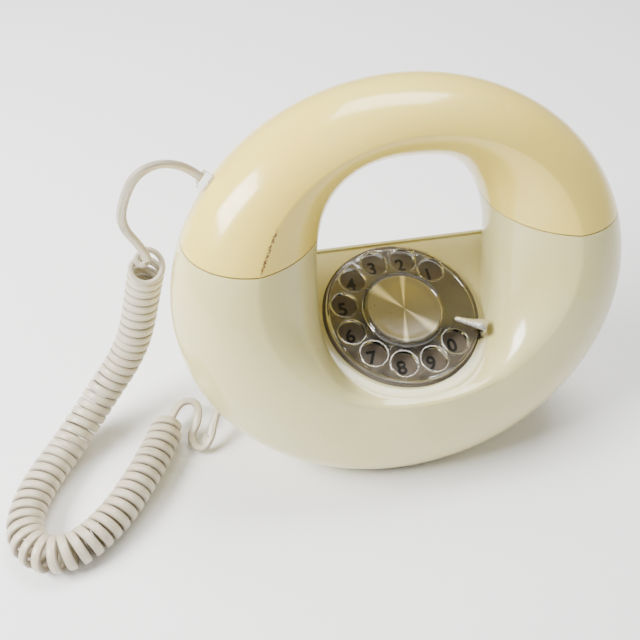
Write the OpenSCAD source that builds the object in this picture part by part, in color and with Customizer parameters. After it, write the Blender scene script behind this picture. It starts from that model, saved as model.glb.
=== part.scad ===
// Ring-shaped rotary desk telephone.
// The upper half of the leaning ring is a handset that lifts off; the lower half is the base with the dial.
// Millimetres, +Z up, front towards -Y. The object stands on z = 0.

/* [Ring] */
// Width of the ring over its outer crest
crest_w = 223; // [205:1:270]
// Height of the outer crest, measured in the ring's own plane
crest_h = 196; // [180:1:240]
// Drop of the crest's centre below the crease's centre
crest_drop = 11.5; // [4:0.5:16]
// Width of the crease on the front face
crease_w = 152; // [138:1:184]
// Height of the crease, measured in the ring's own plane
crease_h = 127; // [115:1:154]
// Width of the throat, the narrowest part of the hole
throat_w = 88; // [76:1:106]
// Height of the throat
throat_h = 114; // [100:1:125]
// Drop of the throat's centre below the crease's centre
throat_drop = 6; // [2:0.5:9]
// Squareness of the throat's outline, 2 is an ellipse
throat_square = 2.8; // [2:0.1:3.4]
// Depth from the crease back to the seam
front_depth = 29; // [24:1:35]
// Depth from the seam back to the rear face at the sides
rear_depth = 40; // [34:1:46]
// Depth from the seam back to the rear face at the top of the handset
rear_depth_top = 30; // [24:1:36]
// Angle by which the ring leans back
lean = 24; // [16:1:28]
// Depth by which the lowest seam point of the full ring would sink below the table
sole_sink = 1.3286; // [0.5:0.1:3]
// Wall of the moulded shells
wall = 2.6; // [2:0.1:3.2]

/* [Parting] */
// Rise of the joint above the crease's centre
parting_rise = 10.5; // [6:0.5:14]
// Open gap between handset and base
parting_gap = 0.6; // [0.4:0.1:1]
// Lift of the handset off the base
lift = 80; // [40:5:120]

/* [Dial] */
// Diameter of the clear finger wheel
wheel_d = 76.2; // [64:0.2:90]
// Diameter of a finger hole
finger_hole_d = 12.7; // [11:0.1:13.6]
// Radius of the circle of finger holes
finger_circle_r = 29.2; // [27:0.1:31]
// Thickness of the finger wheel's web
wheel_t = 2.2; // [1.8:0.1:2.8]
// Forward slope of the dial panel from level
panel_tilt = 15.7; // [10:0.1:22]
// Distance of the dial's centre behind the crease's centre
dial_back = 20.5; // [17:0.5:26]
// Drop of the dial's centre below the crease's centre
dial_drop = 41.2; // [34:0.1:44]
// Diameter of the brushed centre disc
centre_d = 37.4; // [30:0.1:44]
// Diameter of the dial spindle
spindle_d = 6; // [5:0.1:8]
// Gap between the centre bezel and the finger stop's tip
stop_reach_gap = 4.9; // [3:0.1:6]
// Angle of the finger stop, anticlockwise from the right
stop_angle = -14; // [-20:1:-8]
// Running clearance of a shaft in its bush, on the radius
run_clear = 0.05; // [0.03:0.01:0.1]

/* [Gears] */
// Module of the governor gears
gear_m = 0.8; // [0.7:0.05:0.85]
// Teeth of the drive gear
gear_teeth = 50; // [40:2:52]
// Teeth of the governor pinion
pinion_teeth = 10; // [10:1:12]
// Backlash of the gear pair
backlash = 0.3; // [0.2:0.05:0.4]

/* [Feet and ringer] */
// Height of the rubber feet
foot_h = 2.5; // [2:0.1:4]
// Thickness of the base plate
plate_t = 2; // [1.6:0.1:2.6]
// Radius of a gong
gong_r = 16; // [14:0.5:16.5]
// Distance between the gongs' centres
gong_pitch = 41; // [40:0.5:42]

/* [Cord] */
// Width of the flat cord
cord_w = 4.3; // [3.6:0.1:5]
// Outside diameter of the curly part
coil_d = 17; // [15:0.5:17.5]

/* [Hidden] */

// ---- ring geometry: x across, v up in the ring's plane, w forward along the ring's axis ----
crease_a = crease_w/2;
crease_b = crease_h/2;
crest_a = crest_w/2;
crest_b = crest_h/2;
throat_a = throat_w/2;
throat_b = throat_h/2;
sl = sin(lean);
cl = cos(lean);
// height of the crease's centre to a hundredth, which sets the crest's lowest point at the sole
crease_z = round(100*((crest_b + crest_drop)*cl + front_depth*sl - sole_sink))/100;
// height of the joint between handset and base
parting_h = crease_z + parting_rise;
dial_h = crease_z - dial_drop;
// height in the ring's plane of the dial panel's rear edge, below which the back stands upright
back_v = -1.5;
arc_step = 5;
side_steps = 15;

function signed_pow(x, p) = sign(x)*pow(abs(x), p);
function mean(list) = list*[for (x = list) 1]/len(list);
// depth of the rear face behind the seam at ring angle f
function rear_at(f) = rear_depth + (rear_depth_top - rear_depth)*max(0, sin(f))
    + max(0, back_v - crease_b*sin(f))*tan(lean);
// a point of the ring's skin in ring coordinates; t is 0 at the crease, 90 at the crest,
// 180 at the rear face and 270 at the throat; inset moves it into the wall
function ring_point(f, t, inset = 0) =
    let (q = abs(sin(t)),
         tip = [crease_a*cos(f), crease_b*sin(f)],
         crest = [(crest_a - inset)*cos(f), -crest_drop + (crest_b - inset)*sin(f)],
         throat = [(throat_a + inset)*signed_pow(cos(f), 2/throat_square),
                   -throat_drop + (throat_b + inset)*signed_pow(sin(f), 2/throat_square)],
         far = sin(t) >= 0 ? crest : throat,
         p = tip + (far - tip)*q,
         w = cos(t) >= 0 ? -front_depth + (front_depth - inset)*cos(t)
                         : -front_depth + (rear_at(f) - inset)*cos(t))
    [p[0], p[1], w];
function lean_y(p) = p[1]*sl - p[2]*cl;
// shift that puts the middle of the ring's depth over the origin
front_y = min([for (t = [0:12:90]) lean_y(ring_point(-90, t))]);
rear_y = max([for (t = [90:12:180]) lean_y(ring_point(90, t))]);
shift_y = -(front_y + rear_y)/2;
function world(p) = [p[0], lean_y(p) + shift_y, crease_z + p[1]*cl + p[2]*sl];

module in_ring() { translate([0, shift_y, crease_z]) rotate([90 - lean, 0, 0]) children(); }
// closed solid of the ring's skin between ring angles f0..f1 and section angles t0..t1
module ring_solid(f0, f1, t0, t1, inset) {
    nf = round((f1 - f0)/arc_step);
    nt = round((t1 - t0)/12);
    m = nt + 1;
    points = [for (a = [0:nf]) for (b = [0:nt])
        world(ring_point(f0 + (f1 - f0)*a/nf, t0 + (t1 - t0)*b/nt, inset))];
    sides = [for (a = [0:nf - 1]) for (b = [0:nt]) let (c = (b + 1)%m)
        each [[a*m + b, (a + 1)*m + b, (a + 1)*m + c], [a*m + b, (a + 1)*m + c, a*m + c]]];
    start = [for (b = [1:nt - 1]) [0, b, b + 1]];
    end = [for (b = [1:nt - 1]) [nf*m, nf*m + b + 1, nf*m + b]];
    polyhedron(points, concat(sides, start, end), convexity = 8);
}
big = 400;
module above(z) { translate([-big, -big, z]) cube([2*big, 2*big, big]); }
module below(z) { translate([-big, -big, z - big]) cube([2*big, 2*big, big]); }
// ring angle at which the skin at section angle t crosses height z, on the right side
function angle_at_height(t, z, inset, lo = -5, hi = 62, n = 22) = n == 0 ? (lo + hi)/2 :
    let (mid = (lo + hi)/2)
    world(ring_point(mid, t, inset))[2] < z ? angle_at_height(t, z, inset, mid, hi, n - 1)
                                            : angle_at_height(t, z, inset, lo, mid, n - 1);
// outline of the right-hand tube at height z
function tube_outline(z, inset) = [for (t = [0:15:345]) world(ring_point(angle_at_height(t, z, inset), t, inset))];
tube_here = tube_outline(parting_h, 0);
tube_x = mean([for (p = tube_here) p[0]]);
tube_y = mean([for (p = tube_here) p[1]]);
// plate that fills the tube between two heights; side is 1 on the right and -1 on the left
module tube_plate(side, z0, z1, inset) {
    low = tube_outline(z0, inset);
    high = tube_outline(z1, inset);
    n = len(low);
    mirror([side < 0 ? 1 : 0, 0, 0])
        polyhedron(concat(low, high), concat([[for (k = [0:n - 1]) k]], [[for (k = [n - 1:-1:0]) n + k]],
            [for (k = [0:n - 1]) let (j = (k + 1)%n) each [[k, n + k, n + j], [k, n + j, j]]]));
}

// ---- dial panel ----
panel_t = wall;
dial_y = dial_back + shift_y;
wheel_r = wheel_d/2;
dial_gap = 1.5;
dial_open_r = wheel_r + dial_gap;
panel_n = [0, -sin(panel_tilt), cos(panel_tilt)];
module on_panel() { translate([0, dial_y, dial_h]) rotate([panel_tilt, 0, 0]) children(); }
function panel_height(p) = (p - [0, dial_y, dial_h])*panel_n;
function panel_uv(p) = [p[0], (p[1] - dial_y)*cos(panel_tilt) + (p[2] - dial_h)*sin(panel_tilt)];
// ring angle at which the skin at section angle t meets the panel's plane, on the right side
function angle_on_panel(t, inset, lo = -90, hi = 62, n = 22) = n == 0 ? (lo + hi)/2 :
    let (mid = (lo + hi)/2)
    panel_height(world(ring_point(mid, t, inset))) < 0 ? angle_on_panel(t, inset, mid, hi, n - 1)
                                                      : angle_on_panel(t, inset, lo, mid, n - 1);
seam_clear = 0.3;
// section angle on the throat side where the panel steps over the seam between the housings
step_t = 278;
// corner where the skin at section angle t meets the panel; inset moves it into the wall
function panel_corner(t, inset) = panel_uv(world(ring_point(angle_on_panel(t, inset), t, inset)));
panel_side = concat([for (t = [180:10:270]) panel_corner(t, -seam_clear)], [panel_corner(step_t - 0.1, -seam_clear)],
    [panel_corner(step_t, wall*0.6)], [for (t = [285:15:360]) panel_corner(t, wall*0.6)]);
// front edge of the panel, over the crease, from where they meet to the middle
meet_f = angle_on_panel(0, 0);
panel_front = [for (k = [1:11]) panel_uv(world(ring_point(meet_f - (90 + meet_f)*k/12, 0)))];
panel_half = concat(panel_side, panel_front);
function mirrored(list) = [for (k = [len(list) - 1:-1:0]) [-list[k][0], list[k][1]]];
panel_outline = concat(panel_half, mirrored(panel_half));
lip_outline = concat(panel_front, mirrored(panel_front));
lip_h = panel_t + 3.2;
// lip that closes the panel's front edge down onto the crease
module panel_lip() {
    on_panel() translate([0, 0, -lip_h]) linear_extrude(lip_h)
        polygon(concat(lip_outline, 0.92*[for (k = [len(lip_outline) - 1:-1:0]) lip_outline[k]]));
}
rear_face_y = world(ring_point(-90, 180))[1];
// space under the panel and about the crease's outline, where the ring's own wall is left out
module under_panel(top) {
    intersection() {
        in_ring() translate([0, 0, -front_depth - 150]) linear_extrude(front_depth + 150 - wall - 1)
            polygon([for (f = [0:10:350]) [(crease_a + 4)*cos(f), (crease_b + 4)*sin(f)]]);
        on_panel() translate([-big, -big, top - big]) cube([2*big, 2*big, big]);
        translate([-big, rear_face_y - wall - 2*big, -big]) cube(2*big);
    }
}

// ---- housings ----
module slab() { translate([-big, -big, foot_h]) cube([2*big, 2*big, parting_h - parting_gap/2 - foot_h]); }
module base_front_housing() {
    color("ivory") difference() {
        intersection() {
            union() {
                difference() {
                    ring_solid(130, 410, -90, 90, 0);
                    ring_solid(128, 412, -102, 102, wall);
                    under_panel(-panel_t/2);
                }
                on_panel() translate([0, 0, -panel_t]) linear_extrude(panel_t) polygon(panel_outline);
                panel_lip();
            }
            slab();
        }
        on_panel() translate([0, 0, -20]) cylinder(r = dial_open_r, h = 40, $fn = 96);
        on_panel() rotate(stop_angle) translate([dial_open_r - 1, -stop_w/2 - 0.4, -20]) cube([stop_leg + 2, stop_w + 0.8, 40]);
    }
}
module base_rear_housing() {
    color("ivory") difference() {
        intersection() {
            union() {
                difference() {
                    ring_solid(130, 410, 90, 270, 0);
                    difference() {
                        ring_solid(128, 412, 78, 282, wall);
                        bosses();
                    }
                    under_panel(-panel_t);
                }
                back_plate();
            }
            slab();
        }
        four(boss_dx, boss_dy) translate([0, 0, plate_top - 1]) cylinder(r = screw_r, h = boss_h - 1, $fn = 24);
        line_jack_at() translate([-jack_w/2, -jack_h/2, -20]) cube([jack_w, jack_h, 40]);
        base_jack_at() translate([-jack_w/2, -jack_h/2, -20]) cube([jack_w, jack_h, 40]);
    }
}
// upright back, inside the crease's outline and under the panel's rear edge
module back_plate() {
    outline = [for (f = [176:4:364]) let (p = world(ring_point(f, 180))) [p[0], p[2]]];
    difference() {
        translate([0, rear_face_y - 0.1, 0]) rotate([90, 0, 0]) linear_extrude(wall) polygon(outline);
        on_panel() translate([-big, -big, -panel_t - seam_clear]) cube([2*big, 2*big, big]);
    }
}

// ---- underside ----
plate_z = foot_h + 0.6;
plate_top = plate_z + plate_t;
foot_r = 6;
screw_r = 1.5;
plate_inset = wall + 0.4;
// section angle at which the skin is lowest, at ring angle f
function low_t(f) = 180 - atan((ring_point(f, 180)[1] - ring_point(f, 90)[1])*cl/(rear_at(f)*sl));
// section angle between hi (above) and lo (below) at which the skin crosses height z
function t_at_height(f, z, lo, hi, n = 20) = n == 0 ? (lo + hi)/2 :
    let (mid = (lo + hi)/2) world(ring_point(f, mid, plate_inset))[2] < z ? t_at_height(f, z, mid, hi, n - 1)
                                                                     : t_at_height(f, z, lo, mid, n - 1);
// ring angle, clear of straight down, at which the skin leaves height z
function f_at_height(z, lo = 2, hi = 60, n = 20) = n == 0 ? (lo + hi)/2 :
    let (mid = (lo + hi)/2, f = mid - 90) world(ring_point(f, low_t(f), plate_inset))[2] < z
        ? f_at_height(z, mid, hi, n - 1) : f_at_height(z, lo, mid, n - 1);
plate_reach = f_at_height(plate_z);
plate_angles = [for (k = [-11.5:1:11.5]) plate_reach*sin(90*k/12) - 90];
function plate_edge(f, far) = let (p = world(ring_point(f, t_at_height(f, plate_z, low_t(f), far), plate_inset))) [p[0], p[1]];
plate_front = [for (f = plate_angles) plate_edge(f, 0)];
plate_back = [for (k = [len(plate_angles) - 1:-1:0]) plate_edge(plate_angles[k], 180)];
plate_outline = concat(plate_front, plate_back);
plate_w = max([for (p = plate_outline) p[0]])*2;
plate_lo = min([for (p = plate_outline) p[1]]);
plate_hi = max([for (p = plate_outline) p[1]]);
plate_y = (plate_lo + plate_hi)/2;
module four(dx, dy) { for (sx = [-1, 1], sy = [-1, 1]) translate([sx*dx, plate_y + sy*dy, 0]) children(); }
feet_dx = plate_w/2 - 20;
feet_dy = (plate_hi - plate_lo)/2 - 16;
boss_dx = plate_w/2 - 6;
boss_dy = 8;
boss_r = 3.5;
boss_h = 10;
module base_plate() {
    color("dimgray") translate([0, 0, plate_z]) difference() {
        linear_extrude(plate_t) polygon(plate_outline);
        translate([0, 0, -1]) four(boss_dx, boss_dy) cylinder(r = screw_r + 0.2, h = plate_t + 2, $fn = 24);
        for (k = [-2:2]) translate([k*6 - 1.25, plate_y - 8, -1]) cube([2.5, 16, plate_t + 2]);
    }
}
// screw bosses inside the rear housing, each with a rib out to the wall
module bosses() {
    for (sx = [-1, 1], sy = [-1, 1]) translate([sx*boss_dx, plate_y + sy*boss_dy, plate_top]) {
        cylinder(r = boss_r, h = boss_h, $fn = 32);
        translate([sx > 0 ? 0 : -30, -1, 0]) cube([30, 2, boss_h]);
    }
}
module base_feet() {
    color("black") four(feet_dx, feet_dy) cylinder(r = foot_r, h = plate_z, $fn = 48);
}
module base_screws() {
    color("silver") four(boss_dx, boss_dy) {
        translate([0, 0, plate_z - 1.8]) cylinder(r = 3, h = 1.8, $fn = 24);
        translate([0, 0, plate_z]) cylinder(r = screw_r, h = plate_t + boss_h - 3, $fn = 24);
    }
}

// ---- cradles and hook switch, at the tops of the base's two tubes ----
cradle_t = 2.4;
cradle_top = parting_h - parting_gap/2 - 0.3;
plunger_r = 3;
plunger_dx = 14;
hook_drop = 20;
module cradle(side) { tube_plate(side, cradle_top - cradle_t, cradle_top, wall + 0.35); }
module cradle_left() { color("ivory") cradle(-1); }
module cradle_right() {
    color("ivory") difference() {
        cradle(1);
        translate([tube_x + plunger_dx, tube_y, cradle_top - 10]) cylinder(r = plunger_r + run_clear, h = 20, $fn = 48);
    }
}
module at_plunger() { translate([tube_x + plunger_dx, tube_y, cradle_top - cradle_t]) children(); }
module hook_plunger() {
    top = parting_h + parting_gap/2 + 0.1;
    color("white") at_plunger() {
        translate([0, 0, -hook_drop - 1]) cylinder(r = plunger_r, h = top - cradle_top + cradle_t + hook_drop + 1, $fn = 48);
        translate([0, 0, -hook_drop + 6]) cylinder(r = plunger_r + 2, h = 1.5, $fn = 48);
    }
}
module hook_frame() {
    color("silver") at_plunger() {
        for (s = [-1, 1]) translate([-5, s*9 - 0.75, -hook_drop]) cube([10, 1.5, hook_drop]);
        difference() {
            translate([-24, -9.75, -hook_drop - 1.5]) cube([30, 19.5, 1.5]);
            translate([0, 0, -hook_drop - 5]) cylinder(r = plunger_r + run_clear, h = 10, $fn = 48);
        }
    }
}
module hook_springs() {
    color("goldenrod") at_plunger() translate([-23, -4, -hook_drop]) {
        cube([6, 8, 11]);
        for (k = [1:3]) translate([6, 1, 3*k - 0.6]) cube([9, 6, 0.4]);
    }
}

// ---- dial: heights are above the panel's face, along its normal ----
plate_face = -1.2;
number_plate_t = 1;
deck_z = plate_face - number_plate_t;
chassis_r = dial_open_r - 1.1;
chassis_wall = 1.2;
deck_t = 1.4;
can_r = 31.2;
chassis_end = -30;
gear_z = -14;
gear_t = 4;
web_z = 2.2;
web_top = web_z + wheel_t;
lip_z = 0.4;
spindle_r = spindle_d/2;
bezel_wall = 2;
mount_ring_r = dial_open_r + 3;
stop_w = 6;
stop_leg = 1.4;
governor_r = gear_m*(gear_teeth + pinion_teeth)/2;
governor_angle = 200;
governor_pin_r = 1.5;
module at_governor() { rotate(governor_angle) translate([governor_r, 0, 0]) children(); }
module ring_wall(r1, r0, h) {
    difference() {
        cylinder(r = r1, h = h, $fn = 96);
        translate([0, 0, -1]) cylinder(r = r0, h = h + 2, $fn = 96);
    }
}
module dial_mount_ring() {
    color("silver") difference() {
        on_panel() translate([0, 0, -panel_t - 2]) ring_wall(mount_ring_r, chassis_r, 2);
        translate([-big, rear_face_y - wall - 0.5, -big]) cube(2*big);
    }
}
module number_plate() {
    color("tan") on_panel() translate([0, 0, deck_z]) ring_wall(dial_open_r - 0.3, spindle_r + 1.8, number_plate_t);
}
module dial_chassis() {
    color("gray") on_panel() difference() {
        union() {
            translate([0, 0, chassis_end]) ring_wall(can_r, can_r - chassis_wall, deck_z - chassis_end);
            translate([0, 0, deck_z - deck_t]) cylinder(r = chassis_r, h = deck_t, $fn = 96);
            translate([0, 0, chassis_end]) cylinder(r = can_r - 0.5, h = deck_t, $fn = 96);
            translate([0, 0, deck_z - deck_t - 3]) cylinder(r = spindle_r + 1.5, h = 4 + deck_t, $fn = 48);
            at_governor() translate([0, 0, deck_z - deck_t - 3]) cylinder(r = 3.5, h = 3.5, $fn = 32);
        }
        translate([0, 0, chassis_end - 1]) cylinder(r = spindle_r + run_clear, h = 50, $fn = 48);
        at_governor() translate([0, 0, chassis_end - 1])
            cylinder(r = governor_pin_r + run_clear, h = deck_z - deck_t - chassis_end + 0.5, $fn = 32);
        for (a = [30, 150, 270]) rotate(a) translate([can_r - 9, 0, chassis_end - 1]) cylinder(r = 5, h = 4, $fn = 48);
    }
}
stop_tip_r = centre_d/2 + bezel_wall + stop_reach_gap;
module finger_stop() {
    color("silver") on_panel() rotate(stop_angle) {
        translate([dial_open_r + 0.3, -stop_w/2, -panel_t]) cube([stop_leg, stop_w, panel_t + web_top + 3.4]);
        translate([0, 0, web_top + 2.2]) linear_extrude(1.2) polygon([[stop_tip_r, -1.2], [wheel_r - 6, -1.6],
            [dial_open_r - 1, -stop_w/2], [dial_open_r + 1, -stop_w/2], [dial_open_r + 1, stop_w/2],
            [dial_open_r - 1, stop_w/2], [wheel_r - 6, 1.6], [stop_tip_r, 1.2]]);
    }
}
module pulse_contacts() {
    color("goldenrod") on_panel() rotate(60) translate([can_r - 8, -7, deck_z - deck_t - 6]) {
        cube([5, 14, 6]);
        for (k = [0:2]) translate([-9, 1, 1 + 1.8*k]) cube([9, 12, 0.4]);
    }
}
module mainspring_barrel() {
    color("gray") on_panel() translate([0, 0, chassis_end + deck_t]) ring_wall(16, spindle_r + 3, 11);
}
module finger_wheel() {
    holes = 10;
    color("lightyellow", 0.5) on_panel() difference() {
        union() {
            translate([0, 0, web_z]) cylinder(r = wheel_r - 0.5, h = wheel_t, $fn = 96);
            translate([0, 0, lip_z]) ring_wall(wheel_r, wheel_r - 1.7, web_top - lip_z);
            for (k = [0:holes - 1]) rotate(45 + 30*k) translate([finger_circle_r, 0, web_z])
                cylinder(r = finger_hole_d/2 + 1, h = wheel_t + 0.5, $fn = 48);
        }
        for (k = [0:holes - 1]) rotate(45 + 30*k) translate([finger_circle_r, 0, -1])
            cylinder(r = finger_hole_d/2, h = 10, $fn = 48);
        translate([0, 0, -1]) cylinder(r = spindle_r, h = 10, $fn = 48);
    }
}
bezel_h = 2.6;
module centre_bezel() {
    color("lightyellow", 0.6) on_panel() translate([0, 0, web_top]) ring_wall(centre_d/2 + bezel_wall, centre_d/2, bezel_h);
}
module centre_disc() {
    color("silver") on_panel() translate([0, 0, web_top]) cylinder(r = centre_d/2, h = bezel_h - 0.4, $fn = 96);
}
module dial_spindle() {
    color("silver") on_panel() translate([0, 0, chassis_end + 0.4])
        cylinder(r = spindle_r, h = web_top - chassis_end - 0.4, $fn = 48);
}
// gear outline with straight-sided teeth; phase turns the first tooth away from +x
function gear_outline(teeth, m, slack) = let (r = teeth*m/2, half = (PI*m/2 - slack)/2, lean_in = tan(20))
    [for (k = [0:teeth - 1], c = [[-0.95, -1], [0.6, -1], [0.6, 1], [-0.95, 1]])
        let (rad = r + c[0]*m, w = half - c[0]*m*lean_in, a = 360*k/teeth + c[1]*w/rad*180/PI)
        [rad*cos(a), rad*sin(a)]];
module drive_gear() {
    color("goldenrod") on_panel() translate([0, 0, gear_z]) difference() {
        rotate(governor_angle) linear_extrude(gear_t) polygon(gear_outline(gear_teeth, gear_m, backlash/2));
        translate([0, 0, -1]) cylinder(r = spindle_r, h = gear_t + 2, $fn = 48);
        for (a = [0:60:300]) rotate(a) translate([gear_teeth*gear_m*0.3, 0, -1]) cylinder(r = 3.5, h = gear_t + 2, $fn = 32);
    }
}
module governor_shaft() {
    color("silver") on_panel() at_governor() {
        translate([0, 0, chassis_end + 0.3]) cylinder(r = governor_pin_r, h = deck_z - deck_t - chassis_end - 1.2, $fn = 32);
        translate([0, 0, gear_z]) rotate(180 + 180/pinion_teeth)
            linear_extrude(gear_t) polygon(gear_outline(pinion_teeth, gear_m, backlash/2));
    }
}
module governor_weights() {
    color("goldenrod") on_panel() at_governor() translate([0, 0, gear_z - 12]) difference() {
        union() {
            translate([-3.6, -1.2, 3]) cube([7.2, 2.4, 2]);
            cylinder(r = 2.4, h = 8, $fn = 32);
            for (s = [-1, 1]) translate([s*3.6, 0, 0]) cylinder(r = 1.5, h = 8, $fn = 32);
        }
        translate([0, 0, -1]) cylinder(r = governor_pin_r, h = 10, $fn = 32);
    }
}

// ---- ringer and circuit, on the base plate ----
frame_t = 1.5;
frame_top = plate_top + frame_t;
gong_y = -19;
gong_h = 9;
gong_top = plate_top + 16;
gong_t = 1.4;
board_z = plate_top + 19;
board_t = 1.6;
board_x = 48;
board_y = [-34, 12];
clapper_y = 9;
clapper_pin_r = 1.5;
module ringer_frame() {
    color("silver") {
        translate([-36, gong_y - 16, plate_top]) cube([72, clapper_y + 6 - gong_y + 16, frame_t]);
        for (s = [-1, 1]) translate([s*gong_pitch/2, gong_y, frame_top]) difference() {
            cylinder(r = 2.5, h = gong_top - gong_t - frame_top, $fn = 32);
            translate([0, 0, 6]) cylinder(r = screw_r, h = 20, $fn = 24);
        }
        for (s = [-1, 1], y = [gong_y - 13.5, clapper_y + 3]) translate([s*33.5, y, frame_top])
            cylinder(r = 2, h = board_z - frame_top, $fn = 24);
        translate([0, clapper_y, frame_top]) cylinder(r = clapper_pin_r, h = 9, $fn = 24);
    }
}
module ringer_coil() {
    color("saddlebrown") for (s = [-1, 1]) translate([s*13, clapper_y + 1, frame_top]) cylinder(r = 5.5, h = 10, $fn = 48);
}
module gong() {
    rotate_extrude($fn = 96) polygon([[screw_r + 0.1, gong_h], [gong_r - 5, gong_h], [gong_r - 1.5, gong_h - 1.8],
        [gong_r, gong_h - 5], [gong_r, 0], [gong_r - gong_t, 0], [gong_r - gong_t, gong_h - 5],
        [gong_r - 2.4, gong_h - 2.8], [gong_r - 5.4, gong_h - gong_t], [screw_r + 0.1, gong_h - gong_t]]);
}
module gong_high() { color("gold") translate([-gong_pitch/2, gong_y, gong_top - gong_h]) gong(); }
module gong_low() { color("gold") translate([gong_pitch/2, gong_y, gong_top - gong_h]) gong(); }
module gong_screws() {
    color("silver") for (s = [-1, 1]) translate([s*gong_pitch/2, gong_y, 0]) {
        translate([0, 0, gong_top]) cylinder(r = 3, h = 1.5, $fn = 24);
        translate([0, 0, frame_top + 6]) cylinder(r = screw_r, h = gong_top - frame_top - 6, $fn = 24);
    }
}
module clapper() {
    color("gray") translate([0, 0, frame_top + 3]) {
        difference() {
            union() {
                translate([0, clapper_y, 0]) cylinder(r = 3.2, h = 4, $fn = 32);
                translate([-0.8, gong_y + 4, 1]) cube([1.6, clapper_y - gong_y - 4, 2]);
                translate([-7, clapper_y - 1, 0.5]) cube([14, 2, 3]);
            }
            translate([0, clapper_y, -1]) cylinder(r = clapper_pin_r + run_clear, h = 6, $fn = 24);
        }
        translate([0, gong_y + 3, 2]) sphere(r = 2.2, $fn = 32);
    }
}
module circuit_board() {
    color("darkgreen") translate([-board_x, board_y[0], board_z]) cube([2*board_x, board_y[1] - board_y[0], board_t]);
}
module network_block() {
    color("black") translate([board_x - 14, board_y[0] + 6, board_z + board_t]) {
        cube([13, 26, 14]);
        for (k = [0:3]) translate([6.5, 4 + 6*k, 14]) cylinder(r = 2, h = 2, $fn = 24);
    }
}

// ---- jacks and plugs; local +z points out of the socket ----
jack_w = 12;
jack_h = 10;
jack_depth = 12;
socket_w = 8.2;
socket_h = 7;
plug_w = 7.7;
plug_h = 6.5;
line_jack_x = 20;
line_jack_z = 32;
base_jack_y = -4;
base_jack_tilt = 35;
base_jack_z = 24;
// distance of the rear skin from the middle plane at a given y and z, refined from ring angle f
function skin_at(y, z, f = -60, n = 8) =
    let (v = (y - shift_y)*sl + (z - crease_z)*cl,
         w = -(y - shift_y)*cl + (z - crease_z)*sl,
         q = sqrt(1 - pow((w + front_depth)/rear_at(f), 2)),
         g = asin((v + crest_drop*q)/(crease_b + (crest_b - crease_b)*q)))
    n == 0 ? (crease_a + (crest_a - crease_a)*q)*cos(f) : skin_at(y, z, g, n - 1);
base_jack_pos = [-skin_at(base_jack_y, base_jack_z), base_jack_y, base_jack_z];
base_jack_out = [-cos(base_jack_tilt), 0, -sin(base_jack_tilt)];
module line_jack_at() { translate([line_jack_x, rear_face_y - 0.1, line_jack_z]) rotate([-90, 0, 0]) children(); }
module base_jack_at() { translate(base_jack_pos) rotate([0, -90 - base_jack_tilt, 0]) rotate(90) children(); }
handset_jack_angle = 143;
handset_jack_spot = ring_point(handset_jack_angle, 90);
handset_jack_turn = atan2(sin(handset_jack_angle)/crest_b, cos(handset_jack_angle)/crest_a);
module handset_jack_at() { in_ring() translate(handset_jack_spot) rotate(handset_jack_turn) rotate([0, 90, 0]) children(); }
module jack(flange) {
    difference() {
        union() {
            translate([-jack_w/2 + 0.2, -jack_h/2 + 0.2, -jack_depth]) cube([jack_w - 0.4, jack_h - 0.4, jack_depth]);
            translate([-jack_w/2 - 1.5, -jack_h/2 - 1.5, -flange - 1.5]) cube([jack_w + 3, jack_h + 3, 1.5]);
        }
        translate([-socket_w/2, -socket_h/2, -jack_depth + 1.5]) cube([socket_w, socket_h, jack_depth]);
        translate([-1.9, 0, -8]) cube([3.8, socket_h/2 + 1.8, 9]);
    }
}
module plug() {
    translate([-plug_w/2, -plug_h/2, -jack_depth + 2.5]) cube([plug_w, plug_h, jack_depth + 1.5]);
    translate([-1.6, plug_h/2, -5]) cube([3.2, 1.4, 8]);
}
module line_jack() { color("dimgray") line_jack_at() jack(wall + 0.2); }
module base_cord_jack() { color("dimgray") base_jack_at() translate([0, 0, -0.8]) jack(wall + 2); }
module handset_jack() { color("dimgray") handset_jack_at() translate([0, 0, -0.8]) jack(wall + 2); }
module handset_plug() { color("whitesmoke", 0.6) handset_jack_at() plug(); }
module base_plug() { color("whitesmoke", 0.6) base_jack_at() plug(); }

// ---- handset ----
module handset_shell(t0, t1) {
    difference() {
        ring_solid(-5, 185, t0, t1, 0);
        ring_solid(-7, 187, t0 - 12, t1 + 12, wall);
        below(parting_h + parting_gap/2);
        handset_jack_at() translate([-jack_w/2, -jack_h/2, -20]) cube([jack_w, jack_h, 40]);
    }
}
module handset_front_shell() { color("ivory") handset_shell(-90, 90); }
module handset_rear_shell() { color("ivory") handset_shell(90, 270); }
cap_t = 2.2;
cap_z = parting_h + parting_gap/2 + 0.3;
module cap(side) {
    difference() {
        tube_plate(side, cap_z, cap_z + cap_t, wall + 0.35);
        translate([side*tube_x, tube_y, cap_z - 1]) for (r = [0, 6, 12], k = [0:max(0, r - 1)])
            rotate(r == 0 ? 0 : 360*k/r) translate([r, 0, 0]) cylinder(r = 1.1, h = cap_t + 2, $fn = 16);
    }
}
module receiver_cap() { color("ivory") cap(-1); }
module transmitter_cap() { color("ivory") cap(1); }
capsule_r = 17;
capsule_h = 4.8;
module capsule(side) {
    translate([side*tube_x, tube_y + 2, cap_z + cap_t]) {
        ring_wall(capsule_r, capsule_r - 1.5, 2);
        translate([0, 0, 2]) cylinder(r = capsule_r, h = capsule_h - 2, $fn = 96);
    }
}
module receiver_capsule() { color("silver") capsule(-1); }
module transmitter_capsule() { color("silver") capsule(1); }
wire_r = 1.5;
wire_low = cap_z + cap_t + capsule_h;
function tube_centre(f) = world((ring_point(f, 90) + ring_point(f, 270))/2 - [0, 0, 4]);
wire_arch = [for (f = [35:11:145]) tube_centre(f)];
wire_route = concat([[tube_x, tube_y + 2, wire_low], [tube_x, tube_y + 2, wire_low + 5]], wire_arch,
    [[-tube_x, tube_y + 2, wire_low + 5], [-tube_x, tube_y + 2, wire_low]]);
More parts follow.
